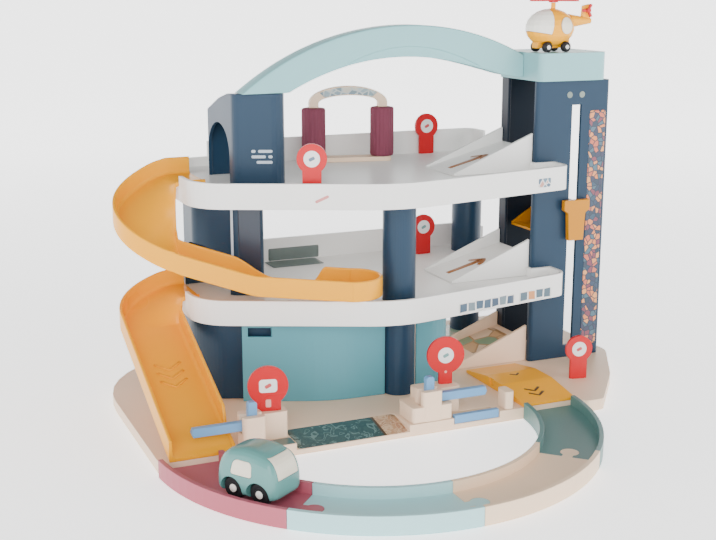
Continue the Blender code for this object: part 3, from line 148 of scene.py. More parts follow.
pale_blue = moulded("pale_blue_polypropylene", "#8CC0C4", 0.36, 0.6)
dress(pale_blue, "helipad")
dress(moulded("light_blue_road", "#B2DFE2", 0.38, 0.7), "road_blue")
dress(moulded("plum_road", "#B95F6F", 0.38, 0.7), "road_plum")
dress(moulded("cream_road", "#FADCBC", 0.40, 0.7), "road_cream")
dress(moulded("green_road", "#5C8683", 0.38, 0.7), "road_green")
dress(moulded("teal_wall", "#5795A1", 0.36, 0.6), "ground_wall_left", "ground_wall_right")


# Ramps, exit tile and lift car
# Orange-yellow polypropylene, glossier than the decks because cars have to roll on it. Each ramp
# is one moulded channel that curls down from a deck's left end. The lift car is a deeper yellow.

yellow = moulded("orange_yellow_polypropylene", "#FDAC00", 0.32, 0.4)
dress(yellow, "exit_tile")
dress(moulded("lift_yellow_abs", "#C88200", 0.32, 0.4), "lift_car")

# The channel's section: its walls stand on the floor's edges, and a sill is what is left of the
# inner wall where cars drive on and off
channel_half = 37.0
channel_high = 24.0
channel_wall = 3.5
sill_high = 5.6
inner_fillet = 4.0
outer_fillet = 1.2


def grid_piece(name, points, material, body, wrap=False, ends=False, uv=None):
    """A mesh from a grid of points (rows, columns, 3) in millimetres.

    Quads join each point to its neighbours. wrap joins the last column to the first one, and
    ends closes the first and the last row with a fan to their middle point.
    """
    rows, columns = points.shape[:2]
    vertices = points.reshape(-1, 3)
    index = np.arange(rows * columns).reshape(rows, columns)
    right = np.roll(index, -1, axis=1) if wrap else index[:, 1:]
    left = index if wrap else index[:, :-1]
    faces = np.stack([left[:-1], right[:-1], right[1:], left[1:]], axis=-1).reshape(-1, 4).tolist()
    if ends:
        for row, flip in ((0, 1), (-1, -1)):
            middle = len(vertices)
            vertices = np.vstack([vertices, points[row].mean(axis=0)])
            ring = index[row]
            fan = np.stack([np.roll(ring, -1), ring, np.full_like(ring, middle)], axis=-1)
            faces += fan[:, ::flip].tolist()
    mesh = bpy.data.meshes.new(name)
    mesh.from_pydata((vertices * 0.001).tolist(), [], faces)
    mesh.update()
    mesh.shade_smooth()
    if uv is not None:
        layer = mesh.uv_layers.new(name="face")
        corner = np.empty(len(mesh.loops), dtype=np.int64)
        mesh.loops.foreach_get("vertex_index", corner)
        layer.data.foreach_set("uv", uv.reshape(-1, 2)[corner].ravel())
    mesh.materials.append(material)
    piece = bpy.data.objects.new(name, mesh)
    bpy.context.scene.collection.objects.link(piece)
    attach(piece, body)
    return piece


def channel_section(low_left):
    """Half widths and heights round a channel's wall, outside first.

    Each half runs from a lip's top to near the middle: a quarter circle as the lip, a straight
    wall, a fillet, and the floor. The left wall is only a sill where low_left is set.
    """
    turn = np.radians(np.linspace(0, 90, 5))
    lip = channel_wall / 2

    def edge(floor, fillet, height, side, outside):
        """One lip, wall, fillet and strip of floor, from the lip's top to near the middle."""
        bulge, reach = (lip, channel_half) if outside else (-lip, channel_half - channel_wall)
        top = [(channel_half - lip + bulge * math.sin(a), height - lip + lip * math.cos(a))
               for a in turn]
        low, high = floor + fillet, height - lip
        face = [(reach, high + (low - high) * part) for part in (0.04, 0.96)]
        toe = [(reach - fillet * (1 - math.cos(a)), floor + fillet * (1 - math.sin(a)))
               for a in turn]
        level = [(reach - fillet - inwards, floor) for inwards in (1.0, 14.0)]
        return [(side * s, h) for s, h in top + face + toe + level]

    left, left_fillet = (sill_high, 0.2) if low_left else (channel_high, inner_fillet)
    outer = edge(0, outer_fillet, left, 1, True)
    outer += edge(0, outer_fillet, channel_high, -1, True)[::-1]
    inner = edge(channel_wall, left_fillet, left, 1, False)
    inner += edge(channel_wall, inner_fillet, channel_high, -1, False)[::-1]
    return np.array(outer + inner[::-1])


def closed_ends(points):
    """Close both ends of a swept wall by folding each onto its middle line."""
    ends = [(points[k] + points[k, ::-1]) / 2 for k in (0, -1)]
    return np.concatenate([ends[:1], points, ends[1:]])


def swept(name, points, material, body):
    """A closed wall from rings of points, with doubled points welded and bends over 40 sharp."""
    piece = grid_piece(name, closed_ends(points), material, body, wrap=True)
    piece.data.set_sharp_from_angle(angle=math.radians(40))
    weld = piece.modifiers.new("seam", "WELD")
    weld.merge_threshold = 1e-6
    return piece


def channel(name, start, radius, sweep, lead, run, stops, gaps):
    """A ramp: its section carried upright along a straight, a left turn and a straight.

    The heading grows evenly over the turn, and the plan is the running sum of its direction. The
    underside's height runs straight between stops (distance, height), then a mean over 18 mm
    rounds its bends. In the gaps (from, to, fade in, fade out) the left wall sinks to a sill.
    """
    spacing = 2.0
    count = 9
    curl = math.radians(sweep) * radius
    far = np.linspace(0, lead + curl + run, int((lead + curl + run) / spacing) + 1)
    step = far[1] - far[0]
    heading = math.pi + np.clip((far - lead) / curl, 0, 1) * math.radians(sweep)
    middle = (heading[1:] + heading[:-1]) / 2
    x = start[0] + np.concatenate([[0], np.cumsum(np.cos(middle) * step)])
    y = start[1] + np.concatenate([[0], np.cumsum(np.sin(middle) * step)])
    z = np.interp(far, *zip(*stops))
    padded = np.concatenate([2 * z[0] - z[count:0:-1], z, 2 * z[-1] - z[-2:-count - 2:-1]])
    z = np.convolve(padded, np.ones(count) / count, "same")[count:-count]
    open_part = np.zeros_like(far)
    for begin, end, fade_in, fade_out in gaps:
        low = np.clip(np.minimum((far - begin) / fade_in, (end - far) / fade_out) + 0.5, 0, 1)
        open_part = np.maximum(open_part, low * low * (3 - 2 * low))
    open_part = open_part[:, None, None]
    section = channel_section(False) * (1 - open_part) + channel_section(True) * open_part
    side = np.stack([-np.sin(heading), np.cos(heading)], axis=-1)[:, None]
    plan = np.stack([x, y], axis=-1)[:, None] + side * section[..., :1]
    points = np.concatenate([plan, z[:, None, None] + section[..., 1:]], axis=-1)
    piece = swept(name, points, yellow, "garage")
    return piece, (x[-1], y[-1], z[-1]), heading[-1]


def end_stop(name, spot, heading):
    """The round end of the upper ramp: the channel's profile turned by 180 about its end."""
    half = channel_section(False)
    half = half[len(half) // 4:3 * len(half) // 4]
    profile = np.vstack([(0.0, 0.0), half, (0.0, channel_wall)])
    swing = heading + np.radians(np.linspace(-90, 90, 46))[:, None]
    reach = -profile[None, :, 0]
    points = np.stack([spot[0] + reach * np.cos(swing), spot[1] + reach * np.sin(swing),
                       spot[2] + profile[None, :, 1] + 0 * swing], axis=-1)
    return swept(name, points, yellow, "garage")


# Both ramps turn left on a middle line of 39 mm. They start 0.3 mm clear of the decks' tops
turn_radius = 39
deck_1_seat = 130.3
deck_2_seat = 268.3

upper_lead, upper_sweep, upper_run = 36, 160, 205
upper_curl = math.radians(upper_sweep) * turn_radius
turned = upper_lead + upper_curl
upper, upper_end, upper_heading = channel(
    "upper_ramp_chute", (-196, 178), turn_radius, upper_sweep, upper_lead, upper_run,
    ((0, deck_2_seat), (upper_lead, deck_2_seat), (upper_lead + upper_curl / 2, 226.7),
     (turned, 180.1), (turned + 92.25, 151.1), (turned + upper_run, 142.6)),
    ((-20, upper_lead + 0.78 * upper_curl, 8, 44), (turned + 92, turned + 168, 56, 16)))
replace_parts(upper, "upper_ramp")
end_stop("upper_ramp_end_stop", upper_end, upper_heading)

lower_lead, lower_sweep, lower_run = 21, 90, 208.7
lower_curl = math.radians(lower_sweep) * turn_radius
turned = lower_lead + lower_curl
lower_bend = 98.3
lower = channel(
    "lower_ramp_chute", (-211, 166), turn_radius, lower_sweep, lower_lead, lower_run,
    ((0, deck_1_seat), (lower_lead, deck_1_seat), (turned, lower_bend), (turned + lower_run, 14.3)),
    ((-20, lower_lead + 0.7 * lower_curl, 8, 36), (turned + 171, 999, 8, 8)))[0]
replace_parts(lower, "lower_ramp")


# Arch bridge
# A pale blue moulded channel, open below. Its front has a shallow crescent step over the underside,
# and the underside curves out level where it meets the helipad.

def arch_shell():
    """The arch's section carried along x, its top and inside circles about the crown's centre.

    The underside is a circle too, never below the gate's sill, and passes into the level landing
    at the helipad by (u + v + hypot(u - v, k)) / 2, where k grows from 0 to 14 mm.
    """
    front, back, wall = 101.0, 130.0, 4.0
    crown_x, crown_z, crown_radius = 56, 108, 345
    under_x, under_z, under_radius = 48, 100, 315
    sill, landing = 376.5, 383
    blend_start, blend_length = 80, 90
    crescent_x, crescent_half, crescent_high = 62, 96, 12
    x = np.concatenate([np.linspace(-160, -130, 16), np.linspace(-126, 215.5, 86)])
    top = crown_z + np.sqrt(crown_radius ** 2 - (x - crown_x) ** 2)
    under = under_z + np.sqrt(under_radius ** 2 - (x - under_x) ** 2)
    blend = 14 * np.clip((x - blend_start) / blend_length, 0, 1)
    low = np.where(x > blend_start, (under + landing + np.hypot(under - landing, blend)) / 2,
                   np.maximum(under, sill))
    inside = crown_z + np.sqrt((crown_radius - wall) ** 2 - (x - crown_x) ** 2)
    inside = np.maximum(inside, low + 0.3)
    step = np.clip(crescent_high * (1 - ((x - crescent_x) / crescent_half) ** 2), 0, None)
    notch = 1.2 * np.clip(step / 2, 0, 1)
    edge = np.clip((top - low) / 12, 0, 1)
    rim = np.minimum(2, (top - low) / 2)
    quarter = np.radians((0, 30, 60, 90))
    outer = [(front + notch, low), (front + notch, low + step),
             (front + 0 * x, low + step + 0.8 * edge)]
    outer += [(front + rim * (1 - math.cos(a)), top - rim * (1 - math.sin(a))) for a in quarter]
    outer += [(back - rim * (1 - math.cos(a)), top - rim * (1 - math.sin(a)))
              for a in quarter[::-1]]
    outer += [(back + 0 * x, low + part * (top - low)) for part in (0.4, 0.2, 0.0)]
    inner = [(front + wall + 0 * x, low + part * (inside - low)) for part in (0, 0.4, 0.8)]
    inner += [(y + 0 * x, inside) for y in np.linspace(front + wall, back - wall, 8)]
    inner += [(back - wall + 0 * x, low + part * (inside - low)) for part in (0.8, 0.4, 0)]
    section = np.array(outer + inner[::-1])
    along = np.broadcast_to(x, section[:, 0].shape)
    points = np.stack([along, section[:, 0], section[:, 1]], axis=-1)
    return swept("arch_shell", points.transpose(1, 0, 2), pale_blue, "garage")


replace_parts(arch_shell(), "arch_bridge")


# Barriers, rail, signs and pins
# Blue and red ABS, small glossy mouldings that snap or plug into their seats. The barriers turn
# on pins of drawn steel wire, bright with a slightly blurred reflection.

dress(moulded("sky_blue_abs", "#6E9FCC", 0.32, 0.4), "barrier_left", "barrier_centre", "lane_rail")
red = moulded("red_abs", "#C81C24", 0.30, 0.3)
dress(red, *[f"sign_{n}" for n in range(1, 7)])
steel = moulded("steel_wire", "#B9BABC", 0.30, 0.3)
steel.node_tree.nodes["Principled BSDF"].inputs["Metallic"].default_value = 1.0
steel.node_tree.nodes["Principled BSDF"].inputs["IOR"].default_value = 1.5
dress(steel, "barrier_pin_left", "barrier_pin_centre")


# Car and helicopter
# Glossy ABS shells with pale inserts for the windows, on black tyres moulded in one with the
# axle. The helicopter's rotors are red and snap on.

dress(moulded("car_teal_abs", "#5F9692", 0.24, 0.3, 0.3), "car_body")
dress(yellow, "helicopter_body")
dress(red, "helicopter_main_rotor", "helicopter_tail_rotor")
glazing = moulded("cream_window_abs", "#EFE6D2", 0.26, 0.2, 0.2)
dress(glazing, "car_windows", "car_windscreen")
dress(moulded("white_window_abs", "#F3F0E6", 0.24, 0.2, 0.3), "helicopter_windscreen")
tyre = moulded("black_tyre_plastic", "#1E1F22", 0.55, 1.0)
dress(tyre, *[name for name in cad_nodes if "wheels" in name])


# Labels on the tower and on the decks' skirts
# Gloss-laminated vinyl, cut with rounded corners and stuck on. The print is flat patches of
# colour with a thin line between them, and the gloss comes from a weak coat.

to_right, to_back, upright = (1, 0, 0), (0, 1, 0), (0, 0, 1)
label_thickness = 0.2


def label(name, centre, across, up, width, height, material, body, radius, lift=0.15,
          shape=None):
    """A flat label: rounded rectangle mapped from the square grid (s, t) in [-1, 1].

    A row at height y is narrowed by the corner's circle, r - sqrt(r^2 - d^2), where d is how far
    y lies beyond the corner's centre. The label stands off its face by lift along across x up.
    """
    across = np.asarray(across, float) / np.linalg.norm(across)
    up = np.asarray(up, float) / np.linalg.norm(up)
    out = np.cross(across, up)
    t = np.sin(np.linspace(-1, 1, 25) * math.pi / 2)[:, None]
    s = np.linspace(-1, 1, 17)[None, :]
    y = t * height / 2
    past = np.clip(np.abs(y) - (height / 2 - radius), 0, radius)
    x = s * (width / 2 - (radius - np.sqrt(radius ** 2 - past ** 2)))
    flat = np.stack([x, y + 0 * x], axis=-1)
    points = np.asarray(centre, float) + flat[..., :1] * across + flat[..., 1:] * up + lift * out
    if shape is not None:
        points = shape(points)
    uv = np.stack([x / width + 0.5, (y + 0 * x) / height + 0.5], axis=-1)
    piece = grid_piece(name, points, material, body, uv=uv)
    thick = piece.modifiers.new("thickness", "SOLIDIFY")
    thick.thickness = label_thickness / 1000
    thick.offset = 0.0
    return piece


def print_base(name, roughness=0.3):
    """A bare label material: the material, its node tree, its shader and its coordinates."""
    material = bpy.data.materials.new(name)
    material.use_nodes = True
    tree = material.node_tree
    shader = tree.nodes["Principled BSDF"]
    shader.inputs["IOR"].default_value = 1.5
    shader.inputs["Roughness"].default_value = roughness
    shader.inputs["Coat Weight"].default_value = 0.2
    shader.inputs["Coat Roughness"].default_value = 0.15
    return material, tree, shader, add(tree, "ShaderNodeTexCoord")


def steps(tree, source, output, colours):
    """A stepped colour ramp of equal bands."""
    ramp = add(tree, "ShaderNodeValToRGB", (), {"Fac": (source, output)})
    ramp.color_ramp.interpolation = "CONSTANT"
    while len(ramp.color_ramp.elements) < len(colours):
        ramp.color_ramp.elements.new(0.5)
    for i, colour in enumerate(colours):
        ramp.color_ramp.elements[i].position = i / len(colours)
        ramp.color_ramp.elements[i].color = linear(colour)
    return ramp


def patchwork(name, width, height, cell, colours, ground, border, jitter=1.0, shift=0.0):
    """Patches of flat colour about cell millimetres across, with a thin line between them."""
    material, tree, shader, place = print_base(name)
    size = add(tree, "ShaderNodeMapping",
               {"Scale": (width / cell, height / cell, 1.0), "Location": (shift, shift, 0.0)},
               {"Vector": (place, "UV")})
    layout = {"voronoi_dimensions": "2D", "Scale": 1.0, "Randomness": jitter}
    cells = add(tree, "ShaderNodeTexVoronoi", layout, {"Vector": (size, "Vector")})
    edges = add(tree, "ShaderNodeTexVoronoi", {"feature": "DISTANCE_TO_EDGE", **layout},
                {"Vector": (size, "Vector")})
    parts = add(tree, "ShaderNodeSeparateColor", (), {0: (cells, "Color")})
    paint = steps(tree, parts, 0, colours)
    line = add(tree, "ShaderNodeMath", {"operation": "LESS_THAN", 1: border},
               {0: (edges, "Distance")})
    mixed = add(tree, "ShaderNodeMix", {"data_type": "RGBA", 7: linear(ground)},
                {0: (line, 0), 6: (paint, 0)})
    tree.links.new(mixed.outputs[2], shader.inputs["Base Color"])
    return material


def plain_print(name, colour, roughness=0.32):
    """A label printed in one colour, with the slight mottle of screen ink, 6 mm wide."""
    material, tree, shader, place = print_base(name, roughness)
    mottle = add(tree, "ShaderNodeTexNoise", {"Scale": 160.0, "Detail": 2.0},
                 {"Vector": (place, "Object")})
    ink = linear(colour)
    thin = [c * 0.92 for c in ink[:3]] + [1.0]
    tone = add(tree, "ShaderNodeMix", {"data_type": "RGBA", 6: thin, 7: ink}, {0: (mottle, "Fac")})
    tree.links.new(tone.outputs[2], shader.inputs["Base Color"])
    return material


tower_print = patchwork(
    "tower_label_vinyl", 24, 314, 6.5,
    ("#1E3348", "#DB7F44", "#243A55", "#DE9658", "#2B2F4C", "#7A3648", "#D98850", "#24455C",
     "#C96548", "#3F6070"), "#182B3E", 0.09)
label("tower_label", (309, 68, 186), to_right, upright, 24, 314, tower_print, "garage", 3)

# Two small round marks above the slit
for i, (x, grey) in enumerate(((265.5, "#74827A"), (284, "#7E8A80"))):
    label(f"tower_mark_{i + 1}", (x, 68, 364), to_right, upright, 8, 8,
          plain_print(f"tower_mark_vinyl_{i + 1}", grey), "garage", 3.99)

# The decks' skirts run straight from the left end to a knee, and from there to the right end
left_end = np.array((-229.0, 78.0, 0.0))
knee = np.array((-12.0, -20.0, 0.0))
left_skirt = np.array((217.0, -98.0, 0.0)) / math.hypot(217, 98)
right_skirt = np.array((258.0, 49.0, 0.0)) / math.hypot(258, 49)


def skirt_label(name, x, z, width, height, material):
    """A label on the right-hand straight part of a deck's skirt, at a given x and height."""
    spot = knee + right_skirt * (x - knee[0]) / right_skirt[0] + np.array((0, 0, z))
    return label(name, spot, right_skirt, upright, width, height, material, "garage", 1.5)


for tone, x, width, cell, colours in (
        ("dark", 116, 88, 12.5, ("#3F5866", "#2C4660", "#6C7F88", "#36536A", "#55707A")),
        ("warm", 194, 54, 13, ("#CC6A58", "#C0504A", "#D08A50", "#46606F", "#C9605A"))):
    row = patchwork(f"deck_row_vinyl_{tone}", width, 13, cell, colours, "#E7E6E2", 0.09, 0.15, 0.5)
    skirt_label(f"deck_row_{tone}", x, 120, width, 13, row)
corner_print = patchwork("deck_mark_vinyl", 20, 11, 7, ("#4B647A", "#A77B74", "#5D7A8C", "#C58F80"),
                         "#D9DADA", 0.1)
skirt_label("deck_corner_mark", 203, 262, 20, 11, corner_print)

# A pale red slash on the top deck's skirt, left of the knee, tilted by 25 degrees
slash_spot = left_end + left_skirt * 134 / left_skirt[0] + np.array((0, 0, 262.5))
slash_along = left_skirt * 0.9 + np.array((0, 0, 0.42))
slash_up = np.array((0, 0, 0.9)) - left_skirt * 0.42
label("deck_slash", slash_spot, slash_along, slash_up, 17, 3.2,
      plain_print("red_ink_vinyl", "#D88683"), "garage", 1.5)


# Prints and painted light on the gates
# Pale printed bars low on the top gate. On the middle gate, a dark panel is painted shade over the
# right part of the front wall, and a pale strip is a painted highlight on the corner beside it.
# All are thin sheets stuck on flat faces, as the skirts' labels are.

# Pale ink for the top gate's printed bars, and a painted highlight on the middle gate's corner
pale_print_and_highlight = plain_print("pale_vinyl_ink_and_highlight", "#B9C6D3")
top_face = np.array((60.0, -25.0, 0.0)) / 65.0
top_spot = np.array((-136.0, 103.1, 300.0))
bars = ((-11, 9, 5), (3, 9, 17), (-5, 2.5, 17), (9, 2.5, 5), (2, -4, 19))
for i, (x, z, width) in enumerate(bars):
    label(f"gate_bar_{i + 1}", top_spot + top_face * x + np.array((0, 0, z)), top_face, upright,
          width, 3.4, pale_print_and_highlight, "garage", 1.6, 0.2)
middle_face = np.array((35.0, -14.0, 0.0)) / math.hypot(35, 14)
middle_spot = np.array((-165.0, 128.0, 192.0))
# Painted shade: a darker navy sheet on the gate's right front, which is the same navy in shadow
label("middle_gate_painted_shade", middle_spot + middle_face * 17.5, middle_face, upright, 27, 106,
      plain_print("navy_vinyl_painted_shade", "#1D2C40"), "garage", 1, 0.2)
# Painted highlight: a pale line on the front wall's corner, where its rounded edge catches the light
label("middle_gate_painted_highlight", middle_spot - middle_face * 3.5, middle_face, upright, 3.0, 104,
      pale_print_and_highlight, "garage", 1, 0.2)


# Apron labels
# Vinyl on the base's front edge: a dark teal panel with pale curls and a tan right end on the
# apron's slope, a plain teal one at the corner, and a tan one on the lane's slope.

def apron_material(width, height):
    """Teal ground with pale curls, and a tan end with darker curls from 80 % of the width."""
    curl_width = 20
    tan_start = 0.80
    material, tree, shader, place = print_base("apron_label_vinyl", 0.34)
    size = add(tree, "ShaderNodeMapping", {"Scale": (width / curl_width, height / curl_width, 1.0)},
               {"Vector": (place, "UV")})
    curls = add(tree, "ShaderNodeTexNoise",
                {"noise_dimensions": "2D", "Scale": 1.6, "Detail": 1.0, "Distortion": 1.4},
                {"Vector": (size, "Vector")})
    ground = steps(tree, curls, "Fac", ("#324E50", "#3A5655", "#355152", "#3C5857", "#324E50",
                                        "#6B8784", "#3A5655", "#324E50", "#3A5655"))
    tan = steps(tree, curls, "Fac", ("#D9B893", "#D9B893", "#C99B76", "#DDBF9C", "#B98A6C",
                                     "#DDBF9C", "#D9B893"))
    along = add(tree, "ShaderNodeSeparateXYZ", (), {0: (place, "UV")})
    end = add(tree, "ShaderNodeMath", {"operation": "GREATER_THAN", 1: tan_start},
              {0: (along, "X")})
    mixed = add(tree, "ShaderNodeMix", {"data_type": "RGBA"},
                {0: (end, 0), 6: (ground, 0), 7: (tan, 0)})
    line = add(tree, "ShaderNodeMath", {"operation": "COMPARE", 1: tan_start - 0.01, 2: 0.012},
               {0: (along, "X")})
    edged = add(tree, "ShaderNodeMix", {"data_type": "RGBA", 7: linear("#5A4632")},
                {0: (line, 0), 6: (mixed, 2)})
    tree.links.new(edged.outputs[2], shader.inputs["Base Color"])
    return material


apron_slope = np.array((0.0, 44.0, 8.0)) / math.hypot(44, 8)
label("apron_label", (-97.5, -60.5, 10.0), to_right, apron_slope, 134, 42, apron_material(134, 42),
      "garage", 5)
label("apron_corner_label", (-183, -72, 14), to_right, to_back, 32, 18,
      plain_print("dark_teal_vinyl", "#46625F"), "garage", 2)
lane_slope = np.array((0.0, 21.0, 8.0)) / math.hypot(21, 8)
label("lane_label", (57.8, -68.7, 11.45), to_right, lane_slope, 56, 12.5,
      plain_print("tan_vinyl", "#D9B893"), "garage", 2)


# Marks on the wedges, the exit tile and the lower ramp
# A printed arrow shows the way up each deck's wedge, and printed chevrons the way down the tile.
# The lower ramp's three chevrons are moulded with it and stand 0.8 mm proud of its floor.

def stroke(name, points, width, height, material):
    """A raised stroke: a flat-topped ribbon through points, carried along them with its section.

    The section is a half hexagon, width across and height up from the base line, mitred at each
    point by the mean of its two directions.
    """
    line = np.asarray(points, float)
    ahead = np.gradient(line, axis=0)
    ahead /= np.linalg.norm(ahead, axis=1, keepdims=True)
    side = np.cross(np.array((0.0, 0.0, 1.0)), ahead)
    side /= np.linalg.norm(side, axis=1, keepdims=True)
    lift = np.cross(ahead, side)
    section = np.array(((-0.5, -0.2), (-0.4, 1.0), (0.4, 1.0), (0.5, -0.2)))
    points = (line[:, None] + side[:, None] * section[None, :, :1] * width
              + lift[:, None] * section[None, :, 1:] * height)
    return grid_piece(name, points[:, ::-1], material, "garage", wrap=True, ends=True)


def chevron(centre, ahead, span, rise):
    """Points of a chevron in the plane of ahead and its level normal, pointing along ahead."""
    ahead = np.asarray(ahead, float)
    ahead = ahead / np.linalg.norm(ahead)
    side = np.cross((0.0, 0.0, 1.0), ahead)
    side /= np.linalg.norm(side)
    t = np.linspace(-1, 1, 9)[:, None]
    return np.asarray(centre, float) + side * t * span / 2 + ahead * (1 - np.abs(t)) * rise


# Each wedge rises 29 mm over 112 mm from its front at x 105.4, above an edge 1 mm thick
wedge_front, wedge_length, wedge_rise, wedge_edge = 105.4, 112, 29, 1
wedge_up = np.array((wedge_length, 0.0, wedge_rise)) / math.hypot(wedge_length, wedge_rise)
brown_ink = plain_print("brown_ink_vinyl", "#9A5A18")
arrow_x = np.array((118, 132, 146, 160, 168))
for level, seat in ((1, deck_1_seat), (2, deck_2_seat)):
    height = seat + wedge_edge + wedge_rise * (arrow_x - wedge_front) / wedge_length + 0.1
    shaft = np.stack([arrow_x, np.full(5, 114.0), height], axis=-1)
    head = chevron((158, 114, height[3] - 0.4), wedge_up, 30, 16)
    stroke(f"wedge_{level}_arrow_shaft", shaft, 10.0, 0.25, brown_ink)
    stroke(f"wedge_{level}_arrow_head", head, 9.0, 0.3, brown_ink)

# The exit tile is level at 26 mm as far as y -28, and from there falls 9 mm over 54 mm
dark_ink = plain_print("dark_brown_ink_vinyl", "#4A3312")
tile_top = 26
stroke("tile_chevron_back", chevron((156, 2, tile_top + 0.05), (0, -1, 0), 12, 6), 3.0, 0.25,
       dark_ink)
tile_fall = np.array((0.0, -54.3, -9.0)) / math.hypot(54.3, 9)
for i, y in enumerate((-46, -57)):
    spot = (152, y, tile_top - (-28 - y) * 9.0 / 53.7 + 0.05)
    stroke(f"tile_chevron_front_{i + 1}", chevron(spot, tile_fall, 20, 8), 3.6, 0.25,
           dark_ink)

# The lower ramp's run starts at y 127 and falls 0.402 mm per millimetre
run_slope = 0.402
run_fall = np.array((0.0, -1.0, -run_slope)) / math.hypot(1, run_slope)
for i, y in enumerate((62, 48, 34)):
    spot = (-271, y, lower_bend - run_slope * (127 - y) + channel_wall)
    stroke(f"ramp_chevron_{i + 1}", chevron(spot, run_fall, 30, 12), 4.0, 0.8, yellow)


# Prints on the base, its wedge and the middle deck
# Vinyl sheets with rounded corners: soft green and tan patches behind the base wedge and on it,
# and a plain slate panel at the back of the middle deck and on its rear rim.

base_top = 14
grass = patchwork("base_print_vinyl", 66, 84, 24,
                  ("#8FAE8E", "#D8B590", "#9DB7A0", "#DDBB98", "#7FA38B"), "#CDBB9F", 0.05)
label("base_print", (196, 226, base_top), to_right, to_back, 66, 84, grass, "garage", 8)
wedge_print = patchwork("base_wedge_vinyl", 96, 68, 26,
                        ("#C89A6A", "#DDBE98", "#7F9F80", "#D2A878", "#E3CBB0"), "#B08A62", 0.05)
label("base_wedge_print", (161.4, 116, base_top + wedge_edge + 14.6), wedge_up, to_back, 96, 68,
      wedge_print, "garage", 6)
slate = plain_print("rim_print_vinyl", "#6B7874")
label("rim_print", (-31, 287, 139.5), to_right, upright, 74, 17, slate, "garage", 2)
label("deck_print", (-38, 266, 130.5), to_right, to_back, 74, 38, slate, "garage", 3)


# Sign faces
# Each red sign carries a white vinyl field with one small plain mark in it. The two signs on the
# barrier blocks have a pale red mark on the foot as well.

pale_red = plain_print("pale_red_vinyl", "#E9A79B")
face_white = plain_print("sign_face_vinyl", "#EDECEA", 0.28)
mark_ink = {"dark": plain_print("sign_ink_dark", "#5E7488"),
            "red": plain_print("sign_ink_red", "#C8484B"),
            "teal": plain_print("sign_ink_teal", "#6E9A98")}
foot_marks = {1: (6, 9), 2: (3, 3)}
# Sign number: x, y, height of the head's centre, turn, half size of the white field, ink
sign_places = {1: (-188, -52, 73.8, -11.5, 10, "red"), 2: (33, -47, 79.8, -11.5, 9.5, "teal"),
               3: (240, -14, 52.8, -12, 9.5, "red"), 4: (-100, 36, 306.8, -23, 9.5, "dark"),
               5: (168, 280, 306.8, 0, 9.5, "red"), 6: (150, 250, 168.8, 0, 9.5, "teal")}
for number, (x, y, z, turn, half, ink) in sign_places.items():
    a = math.radians(turn)
    across = np.array((math.cos(a), math.sin(a), 0.0))
    front = np.array((math.sin(a), -math.cos(a), 0.0)) * 2
    spot = np.array((x, y, z), float) + front
    # Sign 1 has an oblong head, and the others round ones
    high, radius = (1.5, 0.35) if number == 1 else (2.0, 0.98)
    label(f"sign_{number}_face", spot, across, upright, 2 * half, half * high, face_white,
          "garage", half * radius)
    label(f"sign_{number}_mark", spot + front * 0.1, across + np.array((0, 0, 0.5)),
          upright - across * 0.5, half * 0.75, half * 0.4, mark_ink[ink], "garage",
          half * 0.15)
    if number in foot_marks:
        width, height = foot_marks[number]
        label(f"sign_{number}_foot_mark", spot - np.array((0, 0, 20.0)), across, upright,
              width, height, pale_red, "garage", 1.4)


# Car-wash brushes and the print on their arch
# Two plum rollers of moulded foam, matt, with soft ribs. They are threaded on the foot's posts
# and turn by hand. The arch over them carries a narrow label in blue-grey patches.

def roller(name, x, y, low, high, body):
    """A ribbed tube about a post, made by carrying a closed profile round Z.

    The outer radius at angle a is 16 - 0.9 (1 - |cos 9a|) mm, and the bore's is 3.5 mm.
    """
    outer, bore = 16.0, 3.5
    rib_depth, rib_pairs = 0.9, 9
    turn = np.linspace(0, 2 * math.pi, 145)[:-1]
    # Radius, height, and how much of the rib shows there
    profile = np.array(((bore, low, 0), (outer - 4, low, 0.3), (outer - 1, low + 0.6, 1),
                        (outer, low + 2.5, 1), (outer, (low + high) / 2, 1), (outer, high - 2.5, 1),
                        (outer - 1, high - 0.6, 1), (outer - 4, high, 0.3), (bore, high, 0),
                        (bore, low, 0)))
    rib = rib_depth * (1 - np.abs(np.cos(rib_pairs * turn)))
    radius = profile[:, :1] - profile[:, 2:] * rib[None, :]
    points = np.stack([x + radius * np.cos(turn), y + radius * np.sin(turn),
                       profile[:, 1:2] + 0 * radius], axis=-1)
    piece = grid_piece(name, points, foam, body, wrap=True)
    weld = piece.modifiers.new("seam", "WELD")
    weld.merge_threshold = 1e-6
    return piece


foam = moulded("plum_foam", "#7E3E50", 0.75, 4.0)
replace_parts(roller("brush_left", -9.056, 263.37, 274.6, 340.6, "left_roller"), "wash_roller_left")
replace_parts(roller("brush_right", 83.056, 244.63, 274.6, 340.6, "right_roller"), "wash_roller_right")

# The label follows an ellipse on the arch's front face, 6 mm in front of the posts' line. The spot
# is the ellipse's middle
wash_turn = math.radians(-11.5)
wash_across = np.array((math.cos(wash_turn), math.sin(wash_turn), 0.0))
wash_front = np.array((math.sin(wash_turn), -math.cos(wash_turn), 0.0))
wash_spot = np.array((37.0, 254.0, 346.9)) + 6 * wash_front


def over_arch(points):
    """Bend a label over the wash arch: its x becomes an angle on the ellipse 47 by 16 mm."""
    half_span, half_rise, arc_radius = 47, 16, 44.0
    flat = points - wash_spot
    along, out = flat @ wash_across, flat[..., 2]
    angle = math.pi / 2 - along / arc_radius
    bent = np.stack([(half_span + out) * np.cos(angle), (half_rise + out) * np.sin(angle)], axis=-1)
    away = flat - along[..., None] * wash_across
    away[..., 2] = 0
    return wash_spot + bent[..., :1] * wash_across + bent[..., 1:] * np.array((0, 0, 1.0)) + away


